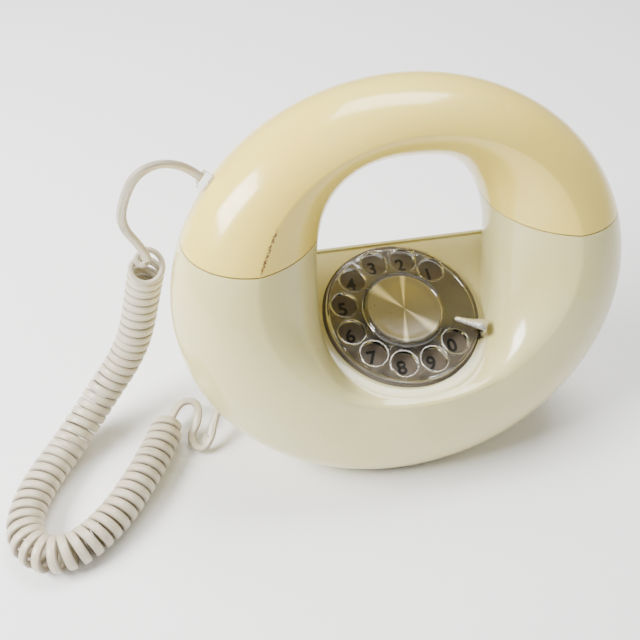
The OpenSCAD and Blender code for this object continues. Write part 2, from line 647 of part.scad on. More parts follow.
module handset_wiring() { color("firebrick") tube(wire_route, wire_r, 8, [0, 1, 0]); }

// ---- cord ----
// round tube swept along a list of points; aside is a direction that no stretch runs along
module tube(route, r, n, aside) {
    last = len(route) - 1;
    rings = [for (k = [0:last])
        let (ahead = route[min(k + 1, last)] - route[max(k - 1, 0)],
             t = ahead/norm(ahead), u0 = cross(t, aside), u = u0/norm(u0), v = cross(t, u))
        each [for (a = [0:n - 1]) route[k] + r*(cos(360*a/n)*u + sin(360*a/n)*v)]];
    polyhedron(rings, concat([[for (a = [n - 1:-1:0]) a]], [[for (a = [0:n - 1]) last*n + a]],
        [for (k = [0:last - 1], a = [0:n - 1]) let (b = (a + 1)%n)
            each [[k*n + a, (k + 1)*n + b, (k + 1)*n + a], [k*n + a, k*n + b, (k + 1)*n + b]]]), convexity = 6);
}
handset_lead_route = [[-92.1, 22, 144.5], [-96, 23, 147.5], [-101, 22.5, 151], [-108, 21, 153.5], [-115, 19, 153],
    [-120.5, 18.5, 148.5], [-124.5, 19, 140], [-127, 21, 129], [-126, 22.5, 120], [-122, 23.5, 111], [-117.79, 23.93, 101],
    [-118, 24, 100]];
coil_route = [[-118, 24, 100], [-121, 25, 86], [-124, 25, 72], [-127, 24, 60], [-131, 23, 48], [-138, 20, 36],
    [-147, 15, 26], [-156, 8, 18], [-164, 0, 13], [-171, -8, 10], [-178, -17, 9], [-186, -31, 9], [-190, -45, 9],
    [-188, -56, 9], [-181, -63, 9], [-172, -64, 9], [-162, -60, 9], [-149, -49, 9], [-138, -35, 9], [-127, -18, 9],
    [-118, -1, 9]];
base_lead_route = [[-118, -1, 9], [-117.47, 0, 9], [-114, 6, 11], [-108, 9, 13], [-103, 5, 12], [-104, -2, 8], [-108, -8, 4],
    [-107, -14, 3], [-103, -17, 4], [-99, -14, 8], [-96.5, -9, 12], [-94, -5.5, 15.6],
    base_jack_pos + 8*base_jack_out, base_jack_pos + 4*base_jack_out];
module cord_handset_lead() { color("ivory") tube(handset_lead_route, cord_w/2, 8, [0, 1, 0.2]); }
module cord_coil() { color("ivory") tube(coil_route, coil_d/2, 12, [0.6, -0.4, 1]); }
module cord_base_lead() { color("ivory") tube(base_lead_route, cord_w/2, 8, [0.3, -0.2, 1]); }

base_front_housing();
base_rear_housing();
base_plate();
base_feet();
base_screws();
cradle_left();
cradle_right();
hook_plunger();
hook_frame();
hook_springs();
dial_mount_ring();
number_plate();
dial_chassis();
finger_stop();
pulse_contacts();
mainspring_barrel();
finger_wheel();
centre_bezel();
centre_disc();
dial_spindle();
drive_gear();
governor_shaft();
governor_weights();
ringer_frame();
ringer_coil();
gong_high();
gong_low();
gong_screws();
clapper();
circuit_board();
network_block();
line_jack();
base_cord_jack();
handset_front_shell();
handset_rear_shell();
receiver_cap();
transmitter_cap();
receiver_capsule();
transmitter_capsule();
handset_wiring();
handset_jack();
handset_plug();
base_plug();
cord_handset_lead();
cord_coil();
cord_base_lead();
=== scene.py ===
"""Looks of the ring-shaped rotary desk telephone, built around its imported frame."""

import logging
import math
from dataclasses import dataclass
from enum import Enum
from typing import Callable, Iterable, Sequence

import bmesh
import bpy
import numpy as np
from mathutils import Matrix, Vector
from mathutils.geometry import delaunay_2d_cdt


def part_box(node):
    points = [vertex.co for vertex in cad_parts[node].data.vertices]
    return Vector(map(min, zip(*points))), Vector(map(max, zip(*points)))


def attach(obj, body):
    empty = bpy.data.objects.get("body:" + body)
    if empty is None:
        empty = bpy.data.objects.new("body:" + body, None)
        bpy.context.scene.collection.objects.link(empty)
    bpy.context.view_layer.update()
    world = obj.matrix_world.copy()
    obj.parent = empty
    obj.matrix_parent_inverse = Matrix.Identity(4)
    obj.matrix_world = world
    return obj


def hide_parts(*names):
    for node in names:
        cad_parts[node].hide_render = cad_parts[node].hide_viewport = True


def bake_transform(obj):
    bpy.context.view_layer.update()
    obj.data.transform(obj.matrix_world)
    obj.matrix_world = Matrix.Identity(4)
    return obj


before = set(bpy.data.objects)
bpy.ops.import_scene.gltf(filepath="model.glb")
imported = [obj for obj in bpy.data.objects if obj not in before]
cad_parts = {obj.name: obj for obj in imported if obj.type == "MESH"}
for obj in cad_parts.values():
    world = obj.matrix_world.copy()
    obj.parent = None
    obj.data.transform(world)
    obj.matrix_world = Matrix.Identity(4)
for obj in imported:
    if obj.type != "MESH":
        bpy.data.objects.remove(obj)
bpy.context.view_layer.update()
LOG = logging.getLogger("telephone")
MM = 0.001
Loop = Sequence[Sequence[float]]


class Body(Enum):
    """Bodies of the frame that pieces ride on."""

    BASE = "base"
    ROTOR = "dial_rotor"
    HANDSET = "handset"


class Slot(Enum):
    """Material slots of the record."""

    IVORY_BASE = "ivory_base"
    IVORY_HANDSET = "ivory_handset"
    IVORY_CORD = "ivory_cord"
    STEEL = "plated_steel"
    BRIGHT_STEEL = "bright_steel"
    CLEAR = "clear_plastic"
    BRUSHED = "brushed_disc"
    TAUPE = "taupe_paint"
    BLACK = "black_rubber"
    DARK = "dark_plastic"
    CONTACT = "contact_metal"


# ---------------------------------------------------------------- node graphs
class Graph:
    """Short hand for building one node tree."""

    def __init__(self, tree: bpy.types.NodeTree) -> None:
        """Starts on an empty tree."""
        self.tree = tree
        tree.nodes.clear()

    def node(self, kind: str, inputs: dict | None = None, **fields: object) -> bpy.types.Node:
        """Adds a node, sets its fields and fills or links its inputs.

        Args:
            kind: the node's type name.
            inputs: socket name or index to a value or to an output socket.
            fields: attributes of the node.

        Returns:
            The new node.
        """
        made = self.tree.nodes.new(kind)
        for name, value in fields.items():
            setattr(made, name, value)
        for key, value in (inputs or {}).items():
            socket = made.inputs[key]
            if isinstance(value, bpy.types.NodeSocket):
                self.tree.links.new(value, socket)
            else:
                socket.default_value = value
        return made

    def math(self, operation: str, *values: object) -> bpy.types.NodeSocket:
        """Adds a Math node and returns its output."""
        return self.node("ShaderNodeMath", dict(enumerate(values)), operation=operation).outputs[0]

    def times(self, first: object, second: object) -> bpy.types.NodeSocket:
        """Multiplies two values."""
        return self.math("MULTIPLY", first, second)

    def plus(self, first: object, second: object) -> bpy.types.NodeSocket:
        """Adds two values."""
        return self.math("ADD", first, second)

    def place(self) -> bpy.types.NodeSocket:
        """Returns the object's own coordinates."""
        return self.node("ShaderNodeTexCoord").outputs["Object"]

    def vector(self, operation: str, *values: object) -> bpy.types.Node:
        """Adds a Vector Math node."""
        return self.node("ShaderNodeVectorMath", dict(enumerate(values)), operation=operation)

    def mix(self, factor: object, first: object, second: object, blend: str = "MIX") -> bpy.types.NodeSocket:
        """Mixes two colours and returns the result."""
        made = self.node("ShaderNodeMix", {0: factor, 6: first, 7: second}, data_type="RGBA", blend_type=blend)
        return made.outputs[2]

    def spread(self, value: object, low: float, high: float, out_low: object = 0.0,
               out_high: object = 1.0) -> bpy.types.NodeSocket:
        """Maps a value smoothly from one range to another."""
        made = self.node("ShaderNodeMapRange", {0: value, 1: low, 2: high, 3: out_low, 4: out_high},
                         interpolation_type="SMOOTHSTEP")
        return made.outputs[0]

    def noise(self, where: object, scale: object, detail: float = 3.0, rough: float = 0.55,
              warp: float = 0.0) -> bpy.types.NodeSocket:
        """Adds a noise texture and returns its value."""
        made = self.node("ShaderNodeTexNoise", {"Vector": where, "Scale": scale, "Detail": detail,
                                                "Roughness": rough, "Distortion": warp})
        return made.outputs[0]

    def stretched(self, where: object, scale: Sequence[float], turn: Sequence[float] = (0, 0, 0)) -> object:
        """Places a pattern by a Mapping node and returns the vector."""
        return self.node("ShaderNodeMapping", {"Vector": where, "Scale": scale, "Rotation": turn}).outputs[0]


def shader_group(name: str, ins: dict[str, tuple[str, object]], outs: dict[str, str],
                 fill: Callable[[Graph, dict, dict], None]) -> bpy.types.NodeTree:
    """Builds a shader node group.

    Args:
        name: the group's name.
        ins: input names with their socket type and default value.
        outs: output names with their socket type.
        fill: draws the inside, given the graph, its inputs by name and a dict to fill with outputs by name.

    Returns:
        The node group.
    """
    tree = bpy.data.node_groups.new(name, "ShaderNodeTree")
    graph = Graph(tree)
    for key, (kind, value) in ins.items():
        socket = tree.interface.new_socket(key, in_out="INPUT", socket_type=kind)
        socket.default_value = value
    for key, kind in outs.items():
        tree.interface.new_socket(key, in_out="OUTPUT", socket_type=kind)
    start = graph.node("NodeGroupInput")
    given = {key: start.outputs[key] for key in ins}
    made: dict = {}
    fill(graph, given, made)
    graph.node("NodeGroupOutput", made)
    return tree


FLOAT, COLOUR, VECTOR = "NodeSocketFloat", "NodeSocketColor", "NodeSocketVector"


class Effects:
    """Surface effects that several finishes share."""

    def __init__(self) -> None:
        """Builds every group once."""
        self.ageing = shader_group("ageing", {
            "Colour": (COLOUR, (0.8, 0.8, 0.7, 1)), "Yellowed": (COLOUR, (0.8, 0.7, 0.4, 1)),
            "Amount": (FLOAT, 0.5), "Scale": (FLOAT, 12.0)}, {"Colour": COLOUR, "Gloss": FLOAT}, self._ageing)
        self.scratches = shader_group("scratches", {
            "Amount": (FLOAT, 0.5), "Scale": (FLOAT, 120.0)}, {"Mask": FLOAT, "Height": FLOAT}, self._scratches)
        self.specks = shader_group("specks", {
            "Scale": (FLOAT, 60.0), "Size": (FLOAT, 0.1), "Share": (FLOAT, 0.05)}, {"Mask": FLOAT}, self._specks)
        self.dust = shader_group("dust", {
            "Colour": (COLOUR, (0.5, 0.5, 0.5, 1)), "Amount": (FLOAT, 0.2)},
            {"Colour": COLOUR, "Mask": FLOAT}, self._dust)
        self.turning_and_highlight = shader_group("turning_marks_and_highlight", {
            "Centre": (VECTOR, (0, 0, 0)), "Axis": (VECTOR, (0, 0, 1)), "Rings": (FLOAT, 900.0),
            "Turn": (FLOAT, 0.82)},
            {"Height": FLOAT, "PaintedHighlightRays": FLOAT}, self._turning_and_highlight)

    def _ageing(self, graph: Graph, given: dict, made: dict) -> None:
        """Slow yellowing in broad drifts with a finer mottle."""
        place = graph.place()
        broad = graph.noise(place, given["Scale"], 2.0, 0.5, 0.6)
        fine = graph.noise(place, graph.times(given["Scale"], 14.0), 5.0, 0.65)
        drift = graph.spread(graph.plus(graph.times(broad, 0.8), graph.times(fine, 0.2)),
                             0.3, 0.7)
        made["Colour"] = graph.mix(graph.times(drift, given["Amount"]), given["Colour"], given["Yellowed"])
        made["Gloss"] = graph.spread(fine, 0.25, 0.75)

    def _scratches(self, graph: Graph, given: dict, made: dict) -> None:
        """Hairline rubs that run in two directions."""
        place = graph.place()
        masks = []
        for turn, squeeze in (((0.3, 0.2, 0.7), (1, 0.03, 1)), ((1.1, 0.5, -0.9), (0.04, 1, 1))):
            lines = graph.noise(graph.stretched(place, squeeze, turn),
                                graph.times(given["Scale"], 9.0), 2.0, 0.5)
            patch = graph.spread(graph.noise(place, given["Scale"], 2.0), 0.48, 0.62)
            masks.append(graph.times(graph.spread(lines, 0.66, 0.74), patch))
        mask = graph.times(graph.math("MAXIMUM", *masks), given["Amount"])
        made["Mask"] = mask
        made["Height"] = graph.times(mask, -1.0)

    def _specks(self, graph: Graph, given: dict, made: dict) -> None:
        """Small round specks on a few of many cells."""
        cell = graph.node("ShaderNodeTexVoronoi", {"Vector": graph.place(), "Scale": given["Scale"]})
        pick = graph.math("LESS_THAN", graph.node("ShaderNodeSeparateColor", {0: cell.outputs["Color"]}).outputs[0],
                          given["Share"])
        near = graph.math("SUBTRACT", 1.0, graph.math("DIVIDE", cell.outputs["Distance"], given["Size"]))
        made["Mask"] = graph.times(graph.spread(near, 0.0, 0.5), pick)

    def _dust(self, graph: Graph, given: dict, made: dict) -> None:
        """Dull film on faces that look up."""
        normal = graph.node("ShaderNodeNewGeometry").outputs["Normal"]
        up = graph.node("ShaderNodeSeparateXYZ", {0: normal}).outputs[2]
        cloud = graph.noise(graph.place(), 60.0, 4.0, 0.6)
        mask = graph.times(graph.times(graph.spread(up, 0.2, 0.95),
                                                 graph.spread(cloud, 0.35, 0.7)), given["Amount"])
        made["Mask"] = mask
        made["Colour"] = graph.mix(mask, given["Colour"], (0.42, 0.4, 0.35, 1))

    def _turning_and_highlight(self, graph: Graph, given: dict, made: dict) -> None:
        """Fine rings round an axis, as a lathe leaves them, and soft painted highlight rays across them, in two
        crossing bands.
        """
        arm = graph.vector("SUBTRACT", graph.place(), given["Centre"]).outputs[0]
        along = graph.vector("DOT_PRODUCT", arm, given["Axis"]).outputs[1]
        flat = graph.vector("SUBTRACT", arm, graph.node("ShaderNodeVectorMath", {0: given["Axis"], 3: along},
                                                        operation="SCALE").outputs[0]).outputs[0]
        radius = graph.vector("LENGTH", flat).outputs[1]
        rings = graph.node("ShaderNodeTexNoise", {"W": graph.times(radius, given["Rings"]), "Scale": 3.0,
                                                  "Detail": 2.0}, noise_dimensions="1D").outputs[0]
        made["Height"] = rings
        # painted highlight: bright rays in a bow-tie round the centre, standing in for light that the turned rings
        # catch
        split = graph.node("ShaderNodeSeparateXYZ", {0: flat})
        angle = graph.math("ARCTAN2", split.outputs[1], split.outputs[0])
        wide = graph.math("ABSOLUTE", graph.math("SINE", graph.plus(angle, given["Turn"])))
        thin = graph.math("ABSOLUTE", graph.math("SINE", graph.plus(graph.plus(angle, given["Turn"]),
                                                                    -2.16)))
        made["PaintedHighlightRays"] = graph.math("MAXIMUM", graph.spread(wide, 0.0, 0.26, 1.0, 0.0),
                                  graph.spread(thin, 0.0, 0.13, 0.9, 0.0))


@dataclass(frozen=True)
class Finish:
    """Settings that every finish has."""

    name: str
    colour: tuple[float, float, float]
    roughness: float
    slot: Slot | None = None

    def start(self, **settings: object) -> tuple[bpy.types.Material, Graph, bpy.types.Node]:
        """Makes the material with its shader.

        Args:
            settings: values for the shader's own sockets, by name with _ for a space.

        Returns:
            The material, its graph and its shader node.
        """
        material = bpy.data.materials.new(self.name)
        material.use_nodes = True
        material.diffuse_color = (*self.colour, 1)
        graph = Graph(material.node_tree)
        shader = graph.node("ShaderNodeBsdfPrincipled")
        out = graph.node("ShaderNodeOutputMaterial")
        graph.tree.links.new(shader.outputs[0], out.inputs[0])
        shader.inputs["Base Color"].default_value = (*self.colour, 1)
        shader.inputs["Roughness"].default_value = self.roughness
        for key, value in settings.items():
            shader.inputs[key.replace("_", " ")].default_value = value
        return material, graph, shader

    def link(self, graph: Graph, shader: bpy.types.Node, **sockets: object) -> None:
        """Feeds shader inputs from sockets."""
        for key, value in sockets.items():
            graph.tree.links.new(value, shader.inputs[key.replace("_", " ")])

    def group(self, graph: Graph, tree: bpy.types.NodeTree, **values: object) -> bpy.types.Node:
        """Places a shared effect with this finish's own values."""
        made = graph.node("ShaderNodeGroup", node_tree=tree)
        for key, value in values.items():
            if isinstance(value, bpy.types.NodeSocket):
                graph.tree.links.new(value, made.inputs[key])
            else:
                made.inputs[key].default_value = value
        return made

    def aged(self, graph: Graph, effects: Effects, later: Sequence[float], amount: float,
             scale: float) -> bpy.types.Node:
        """Ages this finish's colour towards a later one."""
        return self.group(graph, effects.ageing, Colour=(*self.colour, 1), Yellowed=(*later, 1),
                          Amount=amount, Scale=scale)

    def spotted(self, graph: Graph, effects: Effects, colour: object, tint: Sequence[float],
                depth: float, **pattern: float) -> bpy.types.NodeSocket:
        """Puts specks of a tint over a colour.

        Args:
            graph: the material's graph.
            effects: the shared effects.
            colour: socket of the colour below.
            tint: colour of the specks.
            depth: share of the tint in a speck.
            pattern: Scale, Size and Share of the specks.

        Returns:
            The speckled colour.
        """
        spots = self.group(graph, effects.specks, **pattern)
        return graph.mix(graph.times(spots.outputs["Mask"], depth), colour, (*tint, 1))

    def bump(self, graph: Graph, height: object, depth: float, strength: float) -> bpy.types.NodeSocket:
        """Turns a height into a normal."""
        made = graph.node("ShaderNodeBump", {"Strength": strength, "Distance": depth, "Height": height})
        return made.outputs[0]


@dataclass(frozen=True)
class Ivory(Finish):
    """Glossy moulded plastic that has yellowed with age."""

    yellowed: tuple[float, float, float] = (0.8, 0.68, 0.4)
    amount: float = 0.6
    specks: float = 0.02
    scuff: bool = False

    def build(self, effects: Effects) -> bpy.types.Material:
        """Builds the material."""
        material, graph, shader = self.start(Coat_Weight=0.35, Coat_Roughness=0.06, IOR=1.5,
                                             Subsurface_Weight=0.06, Subsurface_Scale=0.004)
        age = self.aged(graph, effects, self.yellowed, self.amount, 14.0)
        marks = self.group(graph, effects.scratches, Amount=0.6, Scale=55.0)
        film = self.group(graph, effects.dust, Colour=age.outputs["Colour"], Amount=0.05)
        colour = self.spotted(graph, effects, film.outputs["Colour"], (0.2, 0.11, 0.05), 0.85,
                              Scale=55.0, Size=0.045, Share=self.specks)
        if self.scuff:
            colour = self._scuff(graph, colour)
        rough = graph.plus(graph.times(age.outputs["Gloss"], 0.09), self.roughness - 0.04)
        rough = graph.plus(rough, graph.times(marks.outputs["Mask"], 0.16))
        ripple = graph.noise(graph.place(), 48.0, 2.0, 0.45)
        height = graph.plus(graph.times(marks.outputs["Height"], 0.05), ripple)
        self.link(graph, shader, Base_Color=colour, Roughness=rough,
                  Normal=self.bump(graph, height, 0.00022, 0.35))
        return material

    @staticmethod
    def _scuff(graph: Graph, colour: object) -> bpy.types.NodeSocket:
        """Adds the brown rub along the left of the crease."""
        place = graph.place()
        start, end = Vector(SCUFF[0]), Vector(SCUFF[1])
        along = (end - start).normalized()
        reach = (end - start).length
        arm = graph.vector("SUBTRACT", place, tuple(start)).outputs[0]
        s = graph.vector("DOT_PRODUCT", arm, tuple(along)).outputs[1]
        foot = graph.node("ShaderNodeVectorMath", {0: tuple(along), 3: s}, operation="SCALE").outputs[0]
        off = graph.vector("LENGTH", graph.vector("SUBTRACT", arm, foot).outputs[0]).outputs[1]
        rough = graph.noise(place, 900.0, 4.0, 0.7)
        width = graph.times(graph.spread(rough, 0.3, 0.7), 0.0011)
        line = graph.math("LESS_THAN", off, width)
        inside = graph.times(graph.spread(s, -0.001, 0.003),
                            graph.spread(s, reach - 0.003, reach + 0.001, 1.0, 0.0))
        return graph.mix(graph.times(line, inside), colour, (0.2, 0.09, 0.03, 1))


@dataclass(frozen=True)
class CordVinyl(Finish):
    """Soft vinyl cord with grime streaks along it, darker towards the side edges of its flat section."""

    grime_and_edge_colour: tuple[float, float, float] = (0.2, 0.16, 0.12)

    def build(self, effects: Effects) -> bpy.types.Material:
        """Builds the material; U runs round the strand and V along it, in millimetres."""
        material, graph, shader = self.start(IOR=1.48, Coat_Weight=0.12, Coat_Roughness=0.25)
        uv = graph.node("ShaderNodeUVMap", uv_map="strand").outputs[0]
        split = graph.node("ShaderNodeSeparateXYZ", {0: uv})
        side_edge_dark = graph.node("ShaderNodeAttribute", attribute_name="side_edge_dark").outputs["Fac"]
        streak = graph.noise(graph.stretched(uv, (22.0, 0.07, 1.0)), 1.0, 4.0, 0.7)
        patch = graph.noise(graph.stretched(uv, (0.6, 0.02, 1.0)), 1.0, 3.0, 0.6)
        age = self.aged(graph, effects, (0.58, 0.5, 0.36), 0.8, 22.0)
        # darker towards the strand's side edges, and grime streaks along its length
        dirt_and_side_edge_dark = graph.plus(graph.times(side_edge_dark, 0.5), graph.times(
            graph.spread(streak, 0.52, 0.72), graph.spread(patch, 0.3, 0.65, 0.25, 0.9)))
        dirt_and_side_edge_dark = graph.math("MINIMUM", dirt_and_side_edge_dark, 0.85)
        colour = graph.mix(dirt_and_side_edge_dark, age.outputs["Colour"], (*self.grime_and_edge_colour, 1))
        colour = self.spotted(graph, effects, colour, (0.09, 0.06, 0.04), 0.7,
                              Scale=170.0, Size=0.16, Share=0.05)
        rough = graph.plus(graph.times(dirt_and_side_edge_dark, 0.3), self.roughness)
        ridge = graph.math("SINE", graph.times(split.outputs[0], 2 * math.pi * 9.0))
        height = graph.plus(graph.times(ridge, 0.35), graph.times(streak, 0.8))
        self.link(graph, shader, Base_Color=colour, Roughness=rough,
                  Normal=self.bump(graph, height, 0.00016, 0.6))
        return material


@dataclass(frozen=True)
class Metal(Finish):
    """Plated, turned or plain metal; turned metal gets painted highlight rays mixed into its colour."""

    centre: tuple[float, float, float] | None = None
    axis: tuple[float, float, float] = (0, 0, 1)
    tarnish: tuple[float, float, float] = (0.25, 0.2, 0.13)

    def build(self, effects: Effects) -> bpy.types.Material:
        """Builds the material."""
        material, graph, shader = self.start(Metallic=1.0)
        age = self.aged(graph, effects, self.tarnish, 0.45, 60.0)
        marks = self.group(graph, effects.scratches, Amount=0.8, Scale=180.0)
        colour = self.spotted(graph, effects, age.outputs["Colour"], (0.08, 0.06, 0.04), 0.7,
                              Scale=420.0, Size=0.18, Share=0.07)
        rough = graph.plus(graph.times(age.outputs["Gloss"], 0.14), self.roughness)
        height = graph.times(marks.outputs["Height"], 0.6)
        if self.centre is not None:
            lathe = self.group(graph, effects.turning_and_highlight, Centre=self.centre, Axis=self.axis, Rings=1500.0)
            height = graph.plus(height, lathe.outputs["Height"])
            # painted highlight: near-white rays mixed into the colour where turned metal would catch the light
            colour = graph.mix(graph.times(lathe.outputs["PaintedHighlightRays"], 0.85), colour,
                               (0.95, 0.92, 0.82, 1))
            shader.inputs["Anisotropic"].default_value = 0.6
            tangent = graph.node("ShaderNodeTangent", direction_type="RADIAL", axis="Z")
            graph.tree.links.new(tangent.outputs[0], shader.inputs["Tangent"])
        self.link(graph, shader, Base_Color=colour, Roughness=rough,
                  Normal=self.bump(graph, height, 0.00005, 0.5))
        return material


@dataclass(frozen=True)
class Clear(Finish):
    """Clear acrylic with rubs and a little dust."""

    def build(self, effects: Effects) -> bpy.types.Material:
        """Builds the material."""
        material, graph, shader = self.start(IOR=1.45, Transmission_Weight=1.0)
        marks = self.group(graph, effects.scratches, Amount=1.0, Scale=90.0)
        film = self.group(graph, effects.dust, Colour=(*self.colour, 1), Amount=0.3)
        rough = graph.plus(graph.times(marks.outputs["Mask"], 0.25), self.roughness)
        rough = graph.plus(rough, graph.times(film.outputs["Mask"], 0.2))
        self.link(graph, shader, Base_Color=film.outputs["Colour"], Roughness=rough,
                  Normal=self.bump(graph, marks.outputs["Height"], 0.00004, 0.4))
        return material


@dataclass(frozen=True)
class Plain(Finish):
    """Painted, rubber or plain plastic surface with a grain."""

    grain: float = 900.0
    depth: float = 0.00006
    worn: tuple[float, float, float] = (0.3, 0.28, 0.25)
    amount: float = 0.5
    film: float = 0.25

    def build(self, effects: Effects) -> bpy.types.Material:
        """Builds the material."""
        material, graph, shader = self.start()
        age = self.aged(graph, effects, self.worn, self.amount, 40.0)
        film = self.group(graph, effects.dust, Colour=age.outputs["Colour"], Amount=self.film)
        colour = self.spotted(graph, effects, film.outputs["Colour"], (0.55, 0.5, 0.4), 0.4,
                              Scale=300.0, Size=0.12, Share=0.04)
        rough = graph.plus(graph.times(age.outputs["Gloss"], 0.15), self.roughness)
        self.link(graph, shader, Base_Color=colour, Roughness=rough,
                  Normal=self.bump(graph, graph.noise(graph.place(), self.grain, 3.0), self.depth, 0.6))
        return material


@dataclass(frozen=True)
class Laminate(Finish):
    """Circuit laminate with printed tracks, or a wound coil."""

    tracks: tuple[float, float, float] = (0.5, 0.3, 0.1)
    pitch: float = 260.0

    def build(self, effects: Effects) -> bpy.types.Material:
        """Builds the material."""
        material, graph, shader = self.start(IOR=1.5)
        place = graph.place()
        bands = graph.node("ShaderNodeTexWave", {"Vector": place, "Scale": self.pitch, "Distortion": 1.5,
                                                 "Detail": 1.0}).outputs[1]
        mask = graph.spread(bands, 0.45, 0.6)
        colour = graph.mix(mask, (*self.colour, 1), (*self.tracks, 1))
        colour = self.spotted(graph, effects, colour, (0.5, 0.5, 0.48), 1.0,
                              Scale=240.0, Size=0.2, Share=0.3)
        self.link(graph, shader, Base_Color=colour, Normal=self.bump(graph, mask, 0.0001, 0.6),
                  Roughness=graph.plus(graph.times(mask, 0.2), self.roughness))
        return material


# ---------------------------------------------------------------- shapes
def smooth_over(height: np.ndarray, reach: np.ndarray | float) -> np.ndarray:
    """Eases a height over a plane, so that it runs out onto the plane within reach of it."""
    eased = (height + reach) ** 2 / (4 * reach)
    return np.where(height > reach, height, np.where(height < -reach, 0.0, eased))


def ease(x: np.ndarray) -> np.ndarray:
    """Smooth step from 0 to 1."""
    x = np.clip(x, 0.0, 1.0)
    return x * x * (3 - 2 * x)


def signed_power(x: np.ndarray, power: np.ndarray | float) -> np.ndarray:
    """Power that keeps the sign."""
    return np.sign(x) * np.abs(x) ** power


@dataclass(frozen=True)
class Panel:
    """Plane of the dial, in millimetres."""

    y: float = -4.2555
    z: float = 69.3
    tilt: float = 15.7

    @property
    def up(self) -> np.ndarray:
        """Unit normal of the panel."""
        a = math.radians(self.tilt)
        return np.array([0.0, -math.sin(a), math.cos(a)])

    @property
    def rise(self) -> np.ndarray:
        """Unit vector that runs backwards up the panel."""
        a = math.radians(self.tilt)
        return np.array([0.0, math.cos(a), math.sin(a)])

    @property
    def centre(self) -> np.ndarray:
        """Centre of the dial."""
        return np.array([0.0, self.y, self.z])

    def height(self, point: np.ndarray) -> np.ndarray:
        """Height of points over the panel."""
        return (point - self.centre) @ self.up

    def flat(self, point: np.ndarray) -> np.ndarray:
        """Place of points in the panel's own plane."""
        return np.stack([point[..., 0], (point - self.centre) @ self.rise], -1)

    def solid(self, flat: np.ndarray, height: float = 0.0) -> np.ndarray:
        """World points from places in the panel's plane."""
        flat = np.asarray(flat, float)
        return self.centre + flat[..., :1] * np.array([1.0, 0, 0]) + flat[..., 1:2] * self.rise + height * self.up

    def matrix(self) -> Matrix:
        """Turns a shape that is built round +Z in metres onto the dial."""
        return Matrix.Translation(Vector(self.centre * MM)) @ Matrix.Rotation(math.radians(self.tilt), 4, "X")


PANEL = Panel()


@dataclass(frozen=True)
class Ring:
    """Skin of the ring in millimetres: f runs round the ring and t round its section.

    t is 0 at the crease, 90 at the crest, 180 at the rear face and 270 or -90 at the throat.
    """

    crest: tuple[float, float, float] = (111.5, 98.0, 11.5)
    crease: tuple[float, float] = (76.0, 63.5)
    throat: tuple[float, float, float, float] = (44.0, 57.0, 6.0, 2.8)
    front: float = 29.0
    rear: tuple[float, float] = (40.0, 30.0)
    lean: float = 24.0
    centre_z: float = 110.5
    shift_y: float = -24.7555
    back_v: float = -1.5
    crease_reach: float = 2.2
    funnel_t: tuple[float, ...] = (0, 15, 30, 45, 60, 75, 90)
    funnel_reach: tuple[float, ...] = (2.2, 4.5, 6.5, 7.0, 5.5, 2.0, 0.5)
    cheek_reach: float = 1.0

    def to_world(self, x: np.ndarray, v: np.ndarray, w: np.ndarray) -> np.ndarray:
        """World points from ring coordinates."""
        s, c = math.sin(math.radians(self.lean)), math.cos(math.radians(self.lean))
        return np.stack([x, v * s - w * c + self.shift_y, self.centre_z + v * c + w * s], -1)

    def raw(self, f: np.ndarray, t: np.ndarray) -> np.ndarray:
        """World points of the skin before it meets the dial panel.

        Args:
            f: ring angles in degrees.
            t: section angles in degrees.

        Returns:
            World points.
        """
        f, t = np.broadcast_arrays(np.radians(np.asarray(f, float)), np.radians(np.asarray(t, float)))
        c, s, q, depth = np.cos(f), np.sin(f), np.abs(np.sin(t)), np.cos(t)
        inner, ahead = np.sin(t) < 0, depth > -1e-9
        low = ease((-np.degrees(np.arcsin(s)) - 5) / 45) * (1 - q ** 6) * (inner & ahead)
        square = 2 / (self.throat[3] - 0.3 * low)
        tip = np.stack([self.crease[0] * c, self.crease[1] * s], -1)
        crest = np.stack([self.crest[0] * c, self.crest[1] * s - self.crest[2]], -1)
        throat = np.stack([self.throat[0] * signed_power(c, square),
                           self.throat[1] * signed_power(s, square) - self.throat[2]], -1)
        p = tip + (np.where(inner[..., None], throat, crest) - tip) * q[..., None]
        keep = np.where(inner, 0.2 - 0.15 * low, 0.03)
        lean = math.tan(math.radians(self.lean))
        back = self.rear[0] + (self.rear[1] - self.rear[0]) * np.maximum(0, s) + np.maximum(
            0, self.back_v - self.crease[1] * s) * lean
        w = np.where(ahead, -self.front * ((1 - keep) * np.abs(1 - depth) ** (1 + 0.6 * low) + keep * q),
                     -self.front + back * depth)
        return self.to_world(p[..., 0], p[..., 1], w)

    def reach(self, t: np.ndarray) -> np.ndarray:
        """Reach of the fillet onto the panel at section angle t."""
        return np.interp(np.abs(t), self.funnel_t, self.funnel_reach)

    def skin(self, f: np.ndarray, t: np.ndarray) -> np.ndarray:
        """World points of the base's skin, eased onto the panel."""
        f, t = np.broadcast_arrays(np.asarray(f, float), np.asarray(t, float))
        point = self.raw(f, t)
        q, ahead, inner = np.abs(np.sin(np.radians(t))), np.abs(t) <= 90, t < 0
        tip = PANEL.height(self.raw(f, 0.0 * t))
        lift = (smooth_over(tip, self.crease_reach) - tip) * (1 - q)
        height = PANEL.height(point)
        fall = smooth_over(height, self.reach(t)) - height
        cheek = smooth_over(height, self.cheek_reach) - height
        move = np.where(ahead, np.where(inner, fall, lift), np.where(t > 180.001, cheek, 0.0))
        return point + move[..., None] * PANEL.up

    def angle_at(self, t: float, height: float) -> float:
        """Ring angle on the right at which the skin's line t is at a height over the panel."""
        low, high = -90.0, 50.0
        for _ in range(40):
            mid = (low + high) / 2
            if PANEL.height(self.raw(mid, t)) < height:
                low = mid
            else:
                high = mid
        return low


